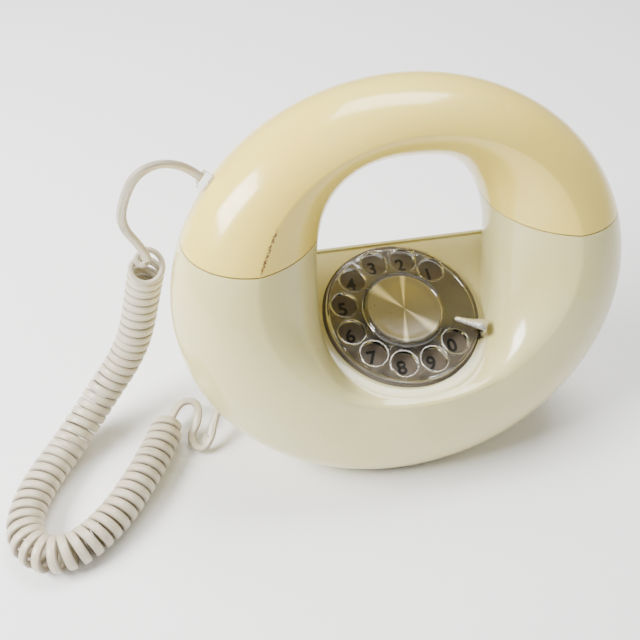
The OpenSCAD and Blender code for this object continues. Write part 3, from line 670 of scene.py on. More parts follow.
RING = Ring()
SCUFF_ENDS = (168.5, 150.0)
SCUFF_OFFSET = np.array([0.0, -0.0002, 0.0])
SCUFF = tuple(tuple(RING.raw(f, 0.0) * MM + SCUFF_OFFSET) for f in SCUFF_ENDS)
PART_Z = 121.0
PART_GAP = 0.6
FOOT_Z = 2.5
WALL = 2.4
STOP_ANGLE = -23.5


class Patchwork:
    """Collects the patches of one shell in millimetres and welds them."""

    def __init__(self) -> None:
        """Starts empty."""
        self.points: list[np.ndarray] = []
        self.faces: list[list[int]] = []
        self.count = 0

    def add(self, points: np.ndarray, faces: Iterable[Sequence[int]]) -> None:
        """Adds points and the faces between them."""
        self.points.append(np.asarray(points, float).reshape(-1, 3))
        self.faces += [[self.count + k for k in face] for face in faces]
        self.count += len(self.points[-1])

    def grid(self, points: np.ndarray, core: np.ndarray) -> None:
        """Adds a grid of quads that faces away from its core.

        Args:
            points: rows by columns by 3.
            core: points inside, of the same shape or one for all.
        """
        rows, columns = points.shape[:2]
        across = np.cross(points[1:, :-1] - points[:-1, :-1], points[:-1, 1:] - points[:-1, :-1])
        away = (points - core)[:-1, :-1]
        flip = float(np.sum(across * away)) < 0
        index = np.arange(rows * columns).reshape(rows, columns)
        a, b, c, d = index[:-1, :-1], index[1:, :-1], index[1:, 1:], index[:-1, 1:]
        quads = np.stack([a, d, c, b] if flip else [a, b, c, d], -1).reshape(-1, 4)
        self.add(points, quads.tolist())

    def pair(self, points: np.ndarray, core: np.ndarray) -> None:
        """Adds a grid on the right and its mirror on the left."""
        self.grid(points, core)
        self.grid(mirrored(points), mirrored(core))

    def sheet(self, loops: Sequence[np.ndarray], lift: Callable[[np.ndarray], np.ndarray],
              facing: np.ndarray) -> None:
        """Fills flat loops, the first outside and the rest holes.

        Args:
            loops: closed loops of flat points.
            lift: turns flat points into world points.
            facing: direction that the sheet looks.
        """
        flat = np.concatenate(loops)
        edges, start = [], 0
        for loop in loops:
            n = len(loop)
            edges += [(start + k, start + (k + 1) % n) for k in range(n)]
            start += n
        verts, _, faces, *_ = delaunay_2d_cdt([Vector(p) for p in flat], edges, [], 1, 1e-5)
        places = np.array([tuple(v) for v in verts])
        faces = [face for face in faces
                 if not any(inside(places[list(face)].mean(0), hole) for hole in loops[1:])]
        points = lift(places)
        a, b, c = (points[faces[0][k]] for k in range(3))
        if float(np.cross(b - a, c - a) @ facing) < 0:
            faces = [list(reversed(face)) for face in faces]
        self.add(points, faces)

    def mesh(self, name: str, cuts: Sequence[tuple[float, bool]] = ()) -> bpy.types.Object:
        """Welds the patches into an object in metres.

        Args:
            name: the object's name.
            cuts: levels to cut at, each with whether the part above is dropped.

        Returns:
            The object.
        """
        bm = bmesh.new()
        verts = [bm.verts.new(p) for p in np.concatenate(self.points) * MM]
        for face in self.faces:
            if len(set(face)) == len(face):
                try:
                    bm.faces.new([verts[k] for k in face])
                except ValueError:
                    LOG.debug("%s: a face is there twice", name)
        bmesh.ops.remove_doubles(bm, verts=bm.verts, dist=2e-5)
        bmesh.ops.dissolve_degenerate(bm, edges=bm.edges, dist=1e-6)
        for level, above in cuts:
            bmesh.ops.bisect_plane(bm, geom=bm.verts[:] + bm.edges[:] + bm.faces[:], dist=1e-6,
                                   plane_co=(0, 0, level * MM), plane_no=(0, 0, 1), clear_outer=above,
                                   clear_inner=not above)
        return new_object(name, bm)


def inside(point: np.ndarray, loop: np.ndarray) -> bool:
    """Tells whether a flat point is inside a closed loop."""
    after = np.roll(loop, -1, 0)
    crossing = (loop[:, 1] > point[1]) != (after[:, 1] > point[1])
    a, b = loop[crossing], after[crossing]
    x = a[:, 0] + (point[1] - a[:, 1]) * (b[:, 0] - a[:, 0]) / (b[:, 1] - a[:, 1])
    return bool(np.sum(x > point[0]) % 2)


def new_object(name: str, bm: bmesh.types.BMesh) -> bpy.types.Object:
    """Turns a bmesh into a linked object and frees it."""
    mesh = bpy.data.meshes.new(name)
    bm.to_mesh(mesh)
    bm.free()
    made = bpy.data.objects.new(name, mesh)
    bpy.context.scene.collection.objects.link(made)
    return made


def modify(obj: bpy.types.Object, kind: str, **fields: object) -> None:
    """Adds a modifier and sets its fields."""
    modifier = obj.modifiers.new(kind.lower(), kind)
    for key, value in fields.items():
        setattr(modifier, key, value)


def settle(obj: bpy.types.Object, sharp: float = 38.0) -> bpy.types.Object:
    """Applies an object's modifiers and smooths its faces, apart from sharp edges."""
    evaluated = obj.evaluated_get(bpy.context.evaluated_depsgraph_get())
    mesh = bpy.data.meshes.new_from_object(evaluated)
    obj.modifiers.clear()
    obj.data = mesh
    mesh.name = obj.name
    mesh.polygons.foreach_set("use_smooth", [True] * len(mesh.polygons))
    mesh.set_sharp_from_angle(angle=math.radians(sharp))
    return obj


def bevelled(obj: bpy.types.Object, width: float, segments: int = 3, angle: float = 40.0) -> bpy.types.Object:
    """Rounds an object's sharp edges, width in millimetres, and settles it."""
    modify(obj, "BEVEL", width=width * MM, segments=segments, limit_method="ANGLE",
           angle_limit=math.radians(angle), use_clamp_overlap=True)
    return settle(obj)


def shell(obj: bpy.types.Object, thickness: float = WALL, edge: float = 0.45) -> bpy.types.Object:
    """Gives a skin its wall inwards and rounds its edges."""
    modify(obj, "SOLIDIFY", thickness=thickness * MM, offset=-1.0, use_even_offset=False, use_rim=True)
    return bevelled(obj, edge)


def lathe(name: str, profile: Loop, steps: int = 128, place: Matrix | None = None) -> bpy.types.Object:
    """Turns a closed profile of radius and height, in millimetres, round the Z axis.

    Args:
        name: the object's name.
        profile: radius and height pairs round the section.
        steps: number of steps round the turn.
        place: where the turned shape goes.

    Returns:
        The object.
    """
    work = Patchwork()
    angles = np.radians(np.linspace(0, 360, steps, endpoint=False))
    section = np.array(list(profile) + [profile[0]], float)
    points = np.stack([np.stack([section[:, 0] * math.cos(a), section[:, 0] * math.sin(a), section[:, 1]], -1)
                       for a in list(angles) + [angles[0]]])
    work.grid(points, points.mean(axis=1, keepdims=True))
    made = work.mesh(name)
    recalc(made)
    if place is not None:
        made.data.transform(place)
    return made


def recalc(obj: bpy.types.Object) -> None:
    """Turns the faces of a closed mesh outwards."""
    bm = bmesh.new()
    bm.from_mesh(obj.data)
    bmesh.ops.remove_doubles(bm, verts=bm.verts, dist=1e-6)
    bmesh.ops.recalc_face_normals(bm, faces=bm.faces)
    bm.to_mesh(obj.data)
    bm.free()


def plate(name: str, loops: Sequence[np.ndarray], low: float, high: float, place: Matrix | None = None
          ) -> bpy.types.Object:
    """Makes a flat plate with holes between two heights, in millimetres."""
    work = Patchwork()
    work.sheet(loops, lambda p: np.concatenate([p, np.full((len(p), 1), high)], 1), np.array([0, 0, 1.0]))
    made = work.mesh(name)
    modify(made, "SOLIDIFY", thickness=(high - low) * MM, offset=-1.0)
    settle(made)
    if place is not None:
        made.data.transform(place)
    return made


def circle(radius: float, steps: int, x: float = 0.0, y: float = 0.0) -> np.ndarray:
    """Points of a circle."""
    a = np.linspace(0, 2 * math.pi, steps, endpoint=False)
    return np.stack([x + radius * np.cos(a), y + radius * np.sin(a)], -1)


def rounded_box(size: Sequence[float], middle: Sequence[float], name: str, edge: float) -> bpy.types.Object:
    """Makes a box with rounded edges, in millimetres."""
    bm = bmesh.new()
    bmesh.ops.create_cube(bm, size=1.0, matrix=Matrix.Translation(Vector(middle) * MM) @ Matrix.Diagonal(
        (*(Vector(size) * MM), 1)))
    return bevelled(new_object(name, bm), edge)


def joined(name: str, parts: Sequence[bpy.types.Object]) -> bpy.types.Object:
    """Merges objects into one mesh object and drops the parts."""
    bm = bmesh.new()
    for part in parts:
        part.data.transform(part.matrix_basis)
        bm.from_mesh(part.data)
        bpy.data.objects.remove(part)
    return settle(new_object(name, bm))


def turn_pattern() -> bpy.types.NodeTree:
    """Builds the Geometry Nodes tree that repeats a shape round a circle."""
    tree = bpy.data.node_groups.new("turn_pattern", "GeometryNodeTree")
    face = tree.interface
    face.new_socket("Geometry", in_out="INPUT", socket_type="NodeSocketGeometry")
    for name, kind, value in (("Radius", "NodeSocketFloat", 0.03), ("Places", "NodeSocketInt", 12),
                              ("Filled", "NodeSocketInt", 12), ("Start", "NodeSocketFloat", 0.0),
                              ("Tilt", "NodeSocketFloat", 0.0)):
        face.new_socket(name, in_out="INPUT", socket_type=kind).default_value = value
    face.new_socket("Place", in_out="INPUT", socket_type="NodeSocketVector")
    face.new_socket("Finish", in_out="INPUT", socket_type="NodeSocketMaterial")
    face.new_socket("Geometry", in_out="OUTPUT", socket_type="NodeSocketGeometry")
    graph = Graph(tree)
    given = graph.node("NodeGroupInput").outputs
    ring = graph.node("GeometryNodeMeshCircle", {"Vertices": given["Places"], "Radius": given["Radius"]})
    pick = graph.node("FunctionNodeCompare", {2: graph.node("GeometryNodeInputIndex").outputs[0],
                                              3: given["Filled"]}, data_type="INT", operation="LESS_THAN")
    on = graph.node("GeometryNodeInstanceOnPoints", {"Points": ring.outputs[0], "Selection": pick.outputs[0],
                                                     "Instance": given["Geometry"]})
    turn = graph.node("ShaderNodeCombineXYZ", {2: given["Start"]})
    turned = graph.node("GeometryNodeTransform", {"Geometry": on.outputs[0], "Rotation": turn.outputs[0]})
    tilt = graph.node("ShaderNodeCombineXYZ", {0: given["Tilt"]})
    placed = graph.node("GeometryNodeTransform", {"Geometry": turned.outputs[0], "Rotation": tilt.outputs[0],
                                                  "Translation": given["Place"]})
    real = graph.node("GeometryNodeRealizeInstances", {0: placed.outputs[0]})
    done = graph.node("GeometryNodeSetMaterial", {"Geometry": real.outputs[0], "Material": given["Finish"]})
    graph.node("NodeGroupOutput", {0: done.outputs[0]})
    return tree


def repeat_round(obj: bpy.types.Object, tree: bpy.types.NodeTree, values: dict[str, object]) -> bpy.types.Object:
    """Runs the turn pattern on an object and settles the result."""
    modifier = obj.modifiers.new("pattern", "NODES")
    modifier.node_group = tree
    for item in tree.interface.items_tree:
        if item.item_type == "SOCKET" and item.in_out == "INPUT" and item.name in values:
            modifier[item.identifier] = values[item.name]
    return settle(obj)


class Workshop:
    """Holds the finishes and dresses the pieces."""

    def __init__(self) -> None:
        """Builds the shared effects and every finish."""
        self.effects = Effects()
        self.made: dict[str, bpy.types.Material] = {}
        self.pattern = turn_pattern()
        for finish in FINISHES:
            self.made[finish.name] = finish.build(self.effects)
        self.slots = {finish.name: finish.slot for finish in FINISHES}

    def dress(self, piece: bpy.types.Object, finish: str) -> None:
        """Gives a piece one finish."""
        piece.data.materials.clear()
        piece.data.materials.append(self.made[finish])

    def seat(self, piece: bpy.types.Object, finish: str, body: Body, *nodes: str) -> bpy.types.Object:
        """Dresses a piece, seats it on its body and hides the nodes that it stands for.

        Args:
            piece: the finished object.
            finish: name of its finish.
            body: the body that it rides on.
            nodes: nodes that it replaces.

        Returns:
            The piece.
        """
        self.dress(piece, finish)
        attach(piece, body.value)
        if nodes:
            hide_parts(*nodes)
        LOG.info("%s: %d faces", piece.name, len(piece.data.polygons))
        return piece

    def dress_node(self, node: str, finish: str) -> None:
        """Gives a carried-over node a finish in all of its slots."""
        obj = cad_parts[node]
        for slot in obj.material_slots:
            slot.material = self.made[finish]
        if not obj.material_slots:
            obj.data.materials.append(self.made[finish])


AXIS = tuple(PANEL.up)
HUB = tuple(PANEL.centre * MM)
FINISHES: tuple[Finish, ...] = (
    Ivory("base_ivory", (0.7, 0.65, 0.33), 0.2, Slot.IVORY_BASE, yellowed=(0.66, 0.54, 0.15), amount=0.5),
    Ivory("handset_ivory", (0.88, 0.7, 0.16), 0.2, Slot.IVORY_HANDSET, yellowed=(0.84, 0.6, 0.09), amount=0.6,
          scuff=True),
    CordVinyl("cord_vinyl", (0.66, 0.6, 0.45), 0.34, Slot.IVORY_CORD),
    Clear("clear_acrylic", (0.95, 0.94, 0.9), 0.03, Slot.CLEAR),
    # dark colour of the spun disc, with painted highlight rays mixed in by the turning group
    Metal("spun_disc", (0.3, 0.285, 0.25), 0.3, Slot.BRUSHED,
          centre=HUB, axis=AXIS, tarnish=(0.24, 0.225, 0.19)),
    Metal("bright_stop", (0.92, 0.92, 0.9), 0.22, Slot.BRIGHT_STEEL),
    Metal("plated_steel", (0.55, 0.54, 0.52), 0.3, Slot.STEEL),
    Metal("blackened_steel", (0.06, 0.052, 0.045), 0.35, Slot.STEEL, tarnish=(0.03, 0.025, 0.02)),
    Metal("brass", (0.7, 0.5, 0.22), 0.28),
    Metal("contact_gold", (0.8, 0.6, 0.28), 0.25, Slot.CONTACT),
    Metal("gong_metal", (0.68, 0.6, 0.42), 0.22, centre=HUB),
    Plain("number_plate_paint", (0.1, 0.078, 0.055), 0.4, Slot.TAUPE,
          worn=(0.13, 0.1, 0.07), amount=0.6, film=0.12),
    Plain("number_ink", (0.004, 0.004, 0.004), 0.6, worn=(0.01, 0.01, 0.01), film=0.01),
    Plain("foot_rubber", (0.02, 0.02, 0.02), 0.7, Slot.BLACK, grain=1400.0, worn=(0.06, 0.055, 0.05)),
    Plain("dark_moulding", (0.03, 0.03, 0.032), 0.4, Slot.DARK, worn=(0.06, 0.06, 0.06)),
    Plain("white_nylon", (0.75, 0.74, 0.7), 0.35, worn=(0.62, 0.58, 0.48)),
    Plain("base_paint", (0.12, 0.12, 0.12), 0.45, worn=(0.2, 0.17, 0.13)),
    Plain("lead_insulation", (0.5, 0.04, 0.03), 0.4, worn=(0.35, 0.03, 0.03)),
    Laminate("circuit_laminate", (0.1, 0.2, 0.08), 0.35, tracks=(0.45, 0.42, 0.3), pitch=70.0),
    Laminate("wound_copper", (0.25, 0.1, 0.04), 0.3, tracks=(0.62, 0.28, 0.1), pitch=520.0),
)
NODE_FINISHES: dict[str, tuple[str, ...]] = {
    "base_ivory": ("cradle_left", "cradle_right"),
    "handset_ivory": ("receiver_cap", "transmitter_cap"),
    "blackened_steel": ("dial_mount_ring", "dial_chassis"),
    "plated_steel": ("base_screws", "hook_frame", "mainspring_barrel",
                     "dial_spindle", "governor_shaft", "ringer_frame", "gong_screws", "receiver_capsule",
                     "transmitter_capsule"),
    "base_paint": ("base_plate",),
    "foot_rubber": ("base_feet",),
    "white_nylon": ("hook_plunger", "governor_weights"),
    "contact_gold": ("hook_springs", "pulse_contacts"),
    "number_plate_paint": ("number_plate",),
    "brass": ("drive_gear", "clapper"),
    "gong_metal": ("gong_high", "gong_low"),
    "wound_copper": ("ringer_coil",),
    "circuit_laminate": ("circuit_board",),
    "dark_moulding": ("network_block", "line_jack", "base_cord_jack", "handset_jack"),
    "lead_insulation": ("handset_wiring",),
}


# ---------------------------------------------------------------- studio
@dataclass(frozen=True)
class Studio:
    """Camera, soft lights and the floor, in metres."""

    eye: tuple[float, float, float] = (-0.1247, -0.2598, 0.3487)
    right: tuple[float, float, float] = (0.9666, -0.2496, 0.0586)
    up: tuple[float, float, float] = (0.1396, 0.7042, 0.6962)
    back: tuple[float, float, float] = (-0.215, -0.6647, 0.7155)
    lens: float = 45.06
    sensor: float = 36.0
    floor: float = 6.0
    sky: float = 0.42

    def build(self) -> None:
        """Places everything that isn't the telephone."""
        camera = bpy.data.cameras.new("studio_camera")
        camera.lens, camera.sensor_width = self.lens, self.sensor
        camera.clip_start, camera.clip_end = 0.02, 20.0
        eye = bpy.data.objects.new("studio_camera", camera)
        bpy.context.scene.collection.objects.link(eye)
        turn = Matrix((self.right, self.up, self.back)).transposed()
        eye.matrix_world = Matrix.Translation(self.eye) @ turn.to_4x4()
        bpy.context.scene.camera = eye
        bm = bmesh.new()
        bmesh.ops.create_grid(bm, x_segments=1, y_segments=1, size=self.floor)
        floor = new_object("studio_floor", bm)
        paint = bpy.data.materials.new("studio_floor")
        paint.use_nodes = True
        shader = paint.node_tree.nodes["Principled BSDF"]
        shader.inputs["Base Color"].default_value = (0.97, 0.97, 0.97, 1)
        shader.inputs["Roughness"].default_value = 0.9
        floor.data.materials.append(paint)
        world = bpy.data.worlds.new("studio_world")
        world.use_nodes = True
        world.node_tree.nodes["Background"].inputs[0].default_value = (1.0, 0.99, 0.97, 1)
        world.node_tree.nodes["Background"].inputs[1].default_value = self.sky
        bpy.context.scene.world = world
        self._light("key", (-0.8, -0.05, 0.7), (0.5, 0.4), 26.0)
        self._light("top", (0.2, 0.45, 1.25), (0.8, 0.5), 22.0)

    def _light(self, name: str, place: Sequence[float], size: Sequence[float], watts: float) -> None:
        """Adds a soft box that points at the telephone."""
        data = bpy.data.lights.new(name, "AREA")
        data.shape, data.size, data.size_y, data.energy = "RECTANGLE", size[0], size[1], watts
        lamp = bpy.data.objects.new(name, data)
        bpy.context.scene.collection.objects.link(lamp)
        lamp.location = place
        lamp.rotation_euler = (Vector((0, 0, 0.08)) - Vector(place)).to_track_quat("-Z", "Y").to_euler()


# ---------------------------------------------------------------- cord
@dataclass(frozen=True)
class HandsetCord:
    """Flat cord from the handset to the base, one mesh along the frame's three routes, in millimetres."""

    width: float = 4.3
    thick: float = 2.7
    coil_r: float = 7.2
    turns: int = 54
    per_turn: int = 26
    around: int = 16
    lead_step: float = 1.2
    open_turn: float = -1.1
    square: float = 0.62
    join_passes: int = 12
    join_reach: int = 14
    handset_lead: Loop = ((-92.1, 22, 144.5), (-96, 23, 147.5), (-101, 22.5, 151), (-108, 21, 153.5),
                          (-115, 19, 153), (-120.5, 18.5, 148.5), (-124.5, 19, 140), (-127, 21, 129),
                          (-126, 22.5, 120), (-122, 23.5, 111), (-117.79, 23.93, 101), (-118, 24, 100))
    coil: Loop = ((-118, 24, 100), (-121, 25, 86), (-124, 25, 72), (-127, 24, 60), (-131, 23, 48), (-138, 20, 36),
                  (-147, 15, 26), (-156, 8, 18), (-164, 0, 13), (-171, -8, 10), (-178, -17, 9), (-186, -31, 9),
                  (-190, -45, 9), (-188, -56, 9), (-181, -63, 9), (-172, -64, 9), (-162, -60, 9),
                  (-149, -49, 9), (-138, -35, 9), (-127, -18, 9), (-118, -1, 9))
    base_lead: Loop = ((-118, -1, 9), (-117.47, 0, 9), (-114, 6, 11), (-108, 9, 13), (-103, 5, 12), (-104, -2, 8),
                       (-108, -8, 4), (-107, -14, 3), (-103, -17, 4), (-99, -14, 8), (-96.5, -9, 12),
                       (-94, -5.5, 15.6), (-89.695, -4, 19.411), (-86.418, -4, 21.706))

    @staticmethod
    def spline(points: Loop, step: float) -> np.ndarray:
        """Smooth curve through points, at even steps."""
        p = np.array(points, float)
        p = np.concatenate([[2 * p[0] - p[1]], p, [2 * p[-1] - p[-2]]])
        fine = []
        for k in range(1, len(p) - 2):
            u = np.linspace(0, 1, 24, endpoint=False)[:, None]
            a, b, c, d = p[k - 1], p[k], p[k + 1], p[k + 2]
            fine.append(0.5 * (2 * b + (c - a) * u + (2 * a - 5 * b + 4 * c - d) * u ** 2
                               + (3 * b - a - 3 * c + d) * u ** 3))
        fine = np.concatenate(fine + [p[-2:-1]])
        run = np.concatenate([[0], np.cumsum(np.linalg.norm(np.diff(fine, axis=0), axis=1))])
        n = max(8, int(run[-1] / step))
        return np.stack([np.interp(np.linspace(0, run[-1], n), run, fine[:, i]) for i in range(3)], -1)

    def wound(self) -> tuple[np.ndarray, np.ndarray]:
        """Centre line of the curly part and the outward direction along it."""
        n = self.turns * self.per_turn
        axis = self.spline(self.coil, 0.5)
        run = np.linspace(0, 1, len(axis))
        at = np.linspace(0, 1, n)
        centre = np.stack([np.interp(at, run, axis[:, i]) for i in range(3)], -1)
        ahead = np.gradient(centre, axis=0)
        ahead /= np.linalg.norm(ahead, axis=1)[:, None]
        side = np.zeros_like(ahead)
        side[0] = np.cross(ahead[0], [0.3, 1.0, 0.1])
        for k in range(n):
            if k:
                side[k] = side[k - 1] - ahead[k] * (side[k - 1] @ ahead[k])
            side[k] /= np.linalg.norm(side[k])
        other = np.cross(ahead, side)
        turn = 2 * math.pi * np.arange(n) / self.per_turn + 0.6
        arm = np.cos(turn)[:, None] * side + np.sin(turn)[:, None] * other
        # the first turns hang open and face forwards
        look = np.array([-0.2, -0.8, 0.55])
        hinge = np.cross(ahead, look)
        hinge /= np.linalg.norm(hinge, axis=1)[:, None]
        tip = self.open_turn * np.exp(-(np.arange(n) / self.per_turn / 1.3) ** 2)[:, None]
        arm = (arm * np.cos(tip) + np.cross(hinge, arm) * np.sin(tip)
               + hinge * np.sum(hinge * arm, 1)[:, None] * (1 - np.cos(tip)))
        ends = np.minimum(np.arange(n), np.arange(n)[::-1]) / (0.5 * self.per_turn)
        return centre + arm * (self.coil_r * ease(ends))[:, None], arm

    def build(self, shop: Workshop) -> None:
        first = self.spline(self.handset_lead, self.lead_step)
        coil, arm = self.wound()
        last = self.spline(self.base_lead, self.lead_step)
        path = np.concatenate([first[:-2], coil[2:-2], last[2:]])
        flat = np.concatenate([np.tile([0.25, 0.9, 0.35], (len(first) - 2, 1)), arm[2:-2],
                               np.tile([0.1, 0.3, 0.95], (len(last) - 2, 1))])
        for _ in range(self.join_passes):
            ends = [len(first) - 2, len(first) - 6 + len(coil)]
            for end in ends:
                zone = slice(max(1, end - self.join_reach), end + self.join_reach)
                path[zone] = (path[zone] + 0.5 * (np.roll(path, 1, 0) + np.roll(path, -1, 0))[zone]) / 2
                flat[zone] = (flat[zone] + 0.5 * (np.roll(flat, 1, 0) + np.roll(flat, -1, 0))[zone]) / 2
        ahead = np.gradient(path, axis=0)
        ahead /= np.linalg.norm(ahead, axis=1)[:, None]
        thin = flat - ahead * np.sum(flat * ahead, 1)[:, None]
        thin /= np.linalg.norm(thin, axis=1)[:, None]
        wide = np.cross(ahead, thin)
        a = np.linspace(0, 2 * math.pi, self.around, endpoint=False)
        section = np.stack([signed_power(np.cos(a), self.square) * self.width / 2,
                            signed_power(np.sin(a), self.square) * self.thick / 2], -1)
        points = path[:, None] + wide[:, None] * section[None, :, :1] + thin[:, None] * section[None, :, 1:]
        run = np.concatenate([[0], np.cumsum(np.linalg.norm(np.diff(path, axis=0), axis=1))])
        piece = self._strand(points, run, np.abs(section[:, 0]) / (self.width / 2))
        shop.dress(piece, "cord_vinyl")
        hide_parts("cord_handset_lead", "cord_coil", "cord_base_lead")
        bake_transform(piece)
        LOG.info("cord: %.0f mm long, %d faces", run[-1], len(piece.data.polygons))

    def _strand(self, points: np.ndarray, run: np.ndarray, side_edge_dark: np.ndarray) -> bpy.types.Object:
        """Makes the strand's mesh with its map and its mask that darkens the side edges."""
        rows, n = points.shape[:2]
        bm = bmesh.new()
        uv = bm.loops.layers.uv.new("strand")
        mask = bm.verts.layers.float.new("side_edge_dark")
        verts = [[bm.verts.new(p * MM) for p in row] for row in points]
        for row in verts:
            for k, vert in enumerate(row):
                vert[mask] = float(side_edge_dark[k] ** 3)
        for j in range(rows - 1):
            for k in range(n):
                m = (k + 1) % n
                face = bm.faces.new((verts[j][k], verts[j][m], verts[j + 1][m], verts[j + 1][k]))
                for loop, (u, v) in zip(face.loops, ((k, j), (k + 1, j), (k + 1, j + 1), (k, j + 1))):
                    loop[uv].uv = (u / n, run[v])
        for row in (verts[0], verts[-1]):
            bm.faces.new(row)
        bmesh.ops.recalc_face_normals(bm, faces=bm.faces)
        return settle(new_object("handset_cord", bm), 60.0)


# ---------------------------------------------------------------- housings
def mirrored(points: np.ndarray) -> np.ndarray:
    """Mirrors points to the left side."""
    return points * np.array([-1.0, 1, 1])


@dataclass(frozen=True)
class BaseHousing:
    """Front housing with the dial panel, and rear housing with its upright back."""

    columns: int = 37
    rows: int = 80
    front_samples: int = 40
    top_f: float = 62.0
    seam: float = 0.4
    opening_r: float = 39.6
    panel_wall: float = 2.6
    rear_y: float = 37.669
    line_jack: tuple[float, float] = (20.0, 32.0)
    jack_half: tuple[float, float] = (6.0, 5.0)

    @staticmethod
    def _all_round(right: np.ndarray) -> np.ndarray:
        """Ring angles of both sides, from the left tip round the foot to the right tip."""
        return np.concatenate([(-180 - right)[::-1], right[1:]])

    def _rows(self, start: float) -> np.ndarray:
        """Ring angles from a start up past the parting, closer together near the start."""
        return start + (self.top_f - start) * (np.arange(self.rows + 1) / self.rows) ** 1.4

    def front(self) -> bpy.types.Object:
        """Crest skin, funnel and dial panel as one moulding."""
        work = Patchwork()
        ts = np.linspace(-90 + self.seam, 0, self.columns)
        starts = np.array([RING.angle_at(t, -float(RING.reach(t))) for t in ts])
        starts[-1] = RING.angle_at(0.0, -RING.crease_reach)
        fs = np.stack([self._rows(s) for s in starts], 1)
        inner = RING.skin(fs, ts[None, :].repeat(len(fs), 0))
        inner[:, -1] = RING.skin(fs[:, -1], 1e-9)
        core = RING.to_world(0 * fs, 0 * fs, 0 * fs - 15)
        away = 2 * inner - core
        work.pair(inner, away)
        low = np.linspace(-90, starts[-1], self.front_samples)[:-1]
        right = np.concatenate([low, fs[:, -1]])
        every = self._all_round(right)
        ot = np.concatenate([[0.0, 1.5], np.linspace(4, 90 - self.seam, 30)])
        crest = RING.skin(every[:, None], np.maximum(ot[None, :], 1e-9).repeat(len(every), 0))
        work.grid(crest, core[0, 0])
        foot = PANEL.flat(inner[0])
        edge = PANEL.flat(RING.skin(low[::-1], 1e-9))
        rear_t = np.linspace(270, 180, 13)
        rear = np.array([PANEL.flat(RING.raw(RING.angle_at(t, 0.8), t)) for t in rear_t[1:]]) + [1.0, 0]
        corner = PANEL.flat(np.array([0.0, self.rear_y, PANEL.z + (self.rear_y - PANEL.y) * math.tan(
            math.radians(PANEL.tilt))]))[1]
        rear[:, 1] = np.minimum(rear[:, 1], corner - 0.15)
        half = np.concatenate([rear[::-1], foot, edge])
        outline = np.concatenate([half, (half * [-1, 1])[::-1][1:]])
        work.sheet([self._distinct(outline), self._opening()], PANEL.solid, PANEL.up)
        made = work.mesh("front_housing", [(PART_Z - PART_GAP / 2, True), (FOOT_Z, False)])
        return shell(made, self.panel_wall, 0.5)

    @staticmethod
    def _distinct(loop: np.ndarray) -> np.ndarray:
        """Drops points that fall on their neighbour."""
        keep = np.linalg.norm(loop - np.roll(loop, 1, 0), axis=1) > 1e-3
        return loop[keep]

    def _opening(self) -> np.ndarray:
        """Round dial opening with the slot for the stop's leg."""
        ring = circle(self.opening_r, 180)
        a = math.radians(STOP_ANGLE)
        c, s = math.cos(a), math.sin(a)
        across = -ring[:, 0] * s + ring[:, 1] * c
        along = ring[:, 0] * c + ring[:, 1] * s
        deep = (np.abs(across) < 3.6) & (along > 0)
        along = np.where(deep, 42.0, along)
        return np.stack([along * c - across * s, along * s + across * c], -1)

    def rear(self) -> bpy.types.Object:
        """Crest skin behind the seam, cheeks beside the dial and the upright back."""
        work = Patchwork()
        ts = np.linspace(180, 270, 31)
        starts = np.array([RING.angle_at(t, -RING.cheek_reach) for t in ts])
        starts[0] = RING.angle_at(180.0, -0.05)
        fs = np.stack([self._rows(s) for s in starts], 1)
        cheek = RING.skin(fs, ts[None, :].repeat(len(fs), 0))
        cheek[:, 0] = RING.raw(fs[:, 0], 180.0)
        core = RING.to_world(0 * fs, 0 * fs, 0 * fs - 50)
        away = 2 * cheek - core
        work.pair(cheek, away)
        low = np.linspace(-90, starts[0], 50)[:-1]
        right = np.concatenate([low, fs[:, 0]])
        every = self._all_round(right)
        rt = np.linspace(90, 180, 31)
        crest = RING.raw(every[:, None], rt[None, :].repeat(len(every), 0))
        work.grid(crest, RING.to_world(np.zeros(1), np.zeros(1), np.full(1, -40.0))[0])
        edge = RING.raw(np.concatenate([low, starts[:1]]), 180.0)
        outline = np.stack([edge[:, 0], edge[:, 2]], -1)
        outline = np.concatenate([outline, (outline * [-1, 1])[::-1][:-1]])
        x, z = self.line_jack
        hx, hz = self.jack_half
        hole = np.array([[x - hx, z - hz], [x + hx, z - hz], [x + hx, z + hz], [x - hx, z + hz]])
        work.sheet([self._distinct(outline), hole],
                   lambda p: np.stack([p[:, 0], np.full(len(p), self.rear_y), p[:, 1]], -1), np.array([0, 1.0, 0]))
        made = work.mesh("rear_housing", [(PART_Z - PART_GAP / 2, True), (FOOT_Z, False)])
        return shell(made, WALL, 0.4)

    def build(self, shop: Workshop) -> None:
        """Builds and seats both housings."""
        shop.seat(self.front(), "base_ivory", Body.BASE, "base_front_housing")
        shop.seat(self.rear(), "base_ivory", Body.BASE, "base_rear_housing")


@dataclass(frozen=True)
class Handset:
    """Upper half of the ring: front and rear shells."""

    rows: int = 120
    seam: float = 0.4

    def build(self, shop: Workshop) -> None:
        """Builds and seats both shells."""
        f = np.linspace(-22, 202, self.rows)[:, None]
        front = np.concatenate([np.linspace(-90 + self.seam, -4, 26), [-1.5, 0, 1.5],
                                np.linspace(4, 90 - self.seam, 30)])
        rear = np.linspace(90, 270, 61)
        for name, t, node in (("handset_front", front, "handset_front_shell"),
                              ("handset_rear", rear, "handset_rear_shell")):
            points = RING.raw(f, t[None, :].repeat(self.rows, 0))
            core = RING.raw(f, np.full((1, 1), 90.0)) * 0.5 + RING.raw(f, np.full((1, 1), -90.0)) * 0.5
            work = Patchwork()
            work.grid(points, core)
            made = work.mesh(name, [(PART_Z + PART_GAP / 2, False)])
            shop.seat(shell(made, WALL, 0.45), "handset_ivory", Body.HANDSET, node)


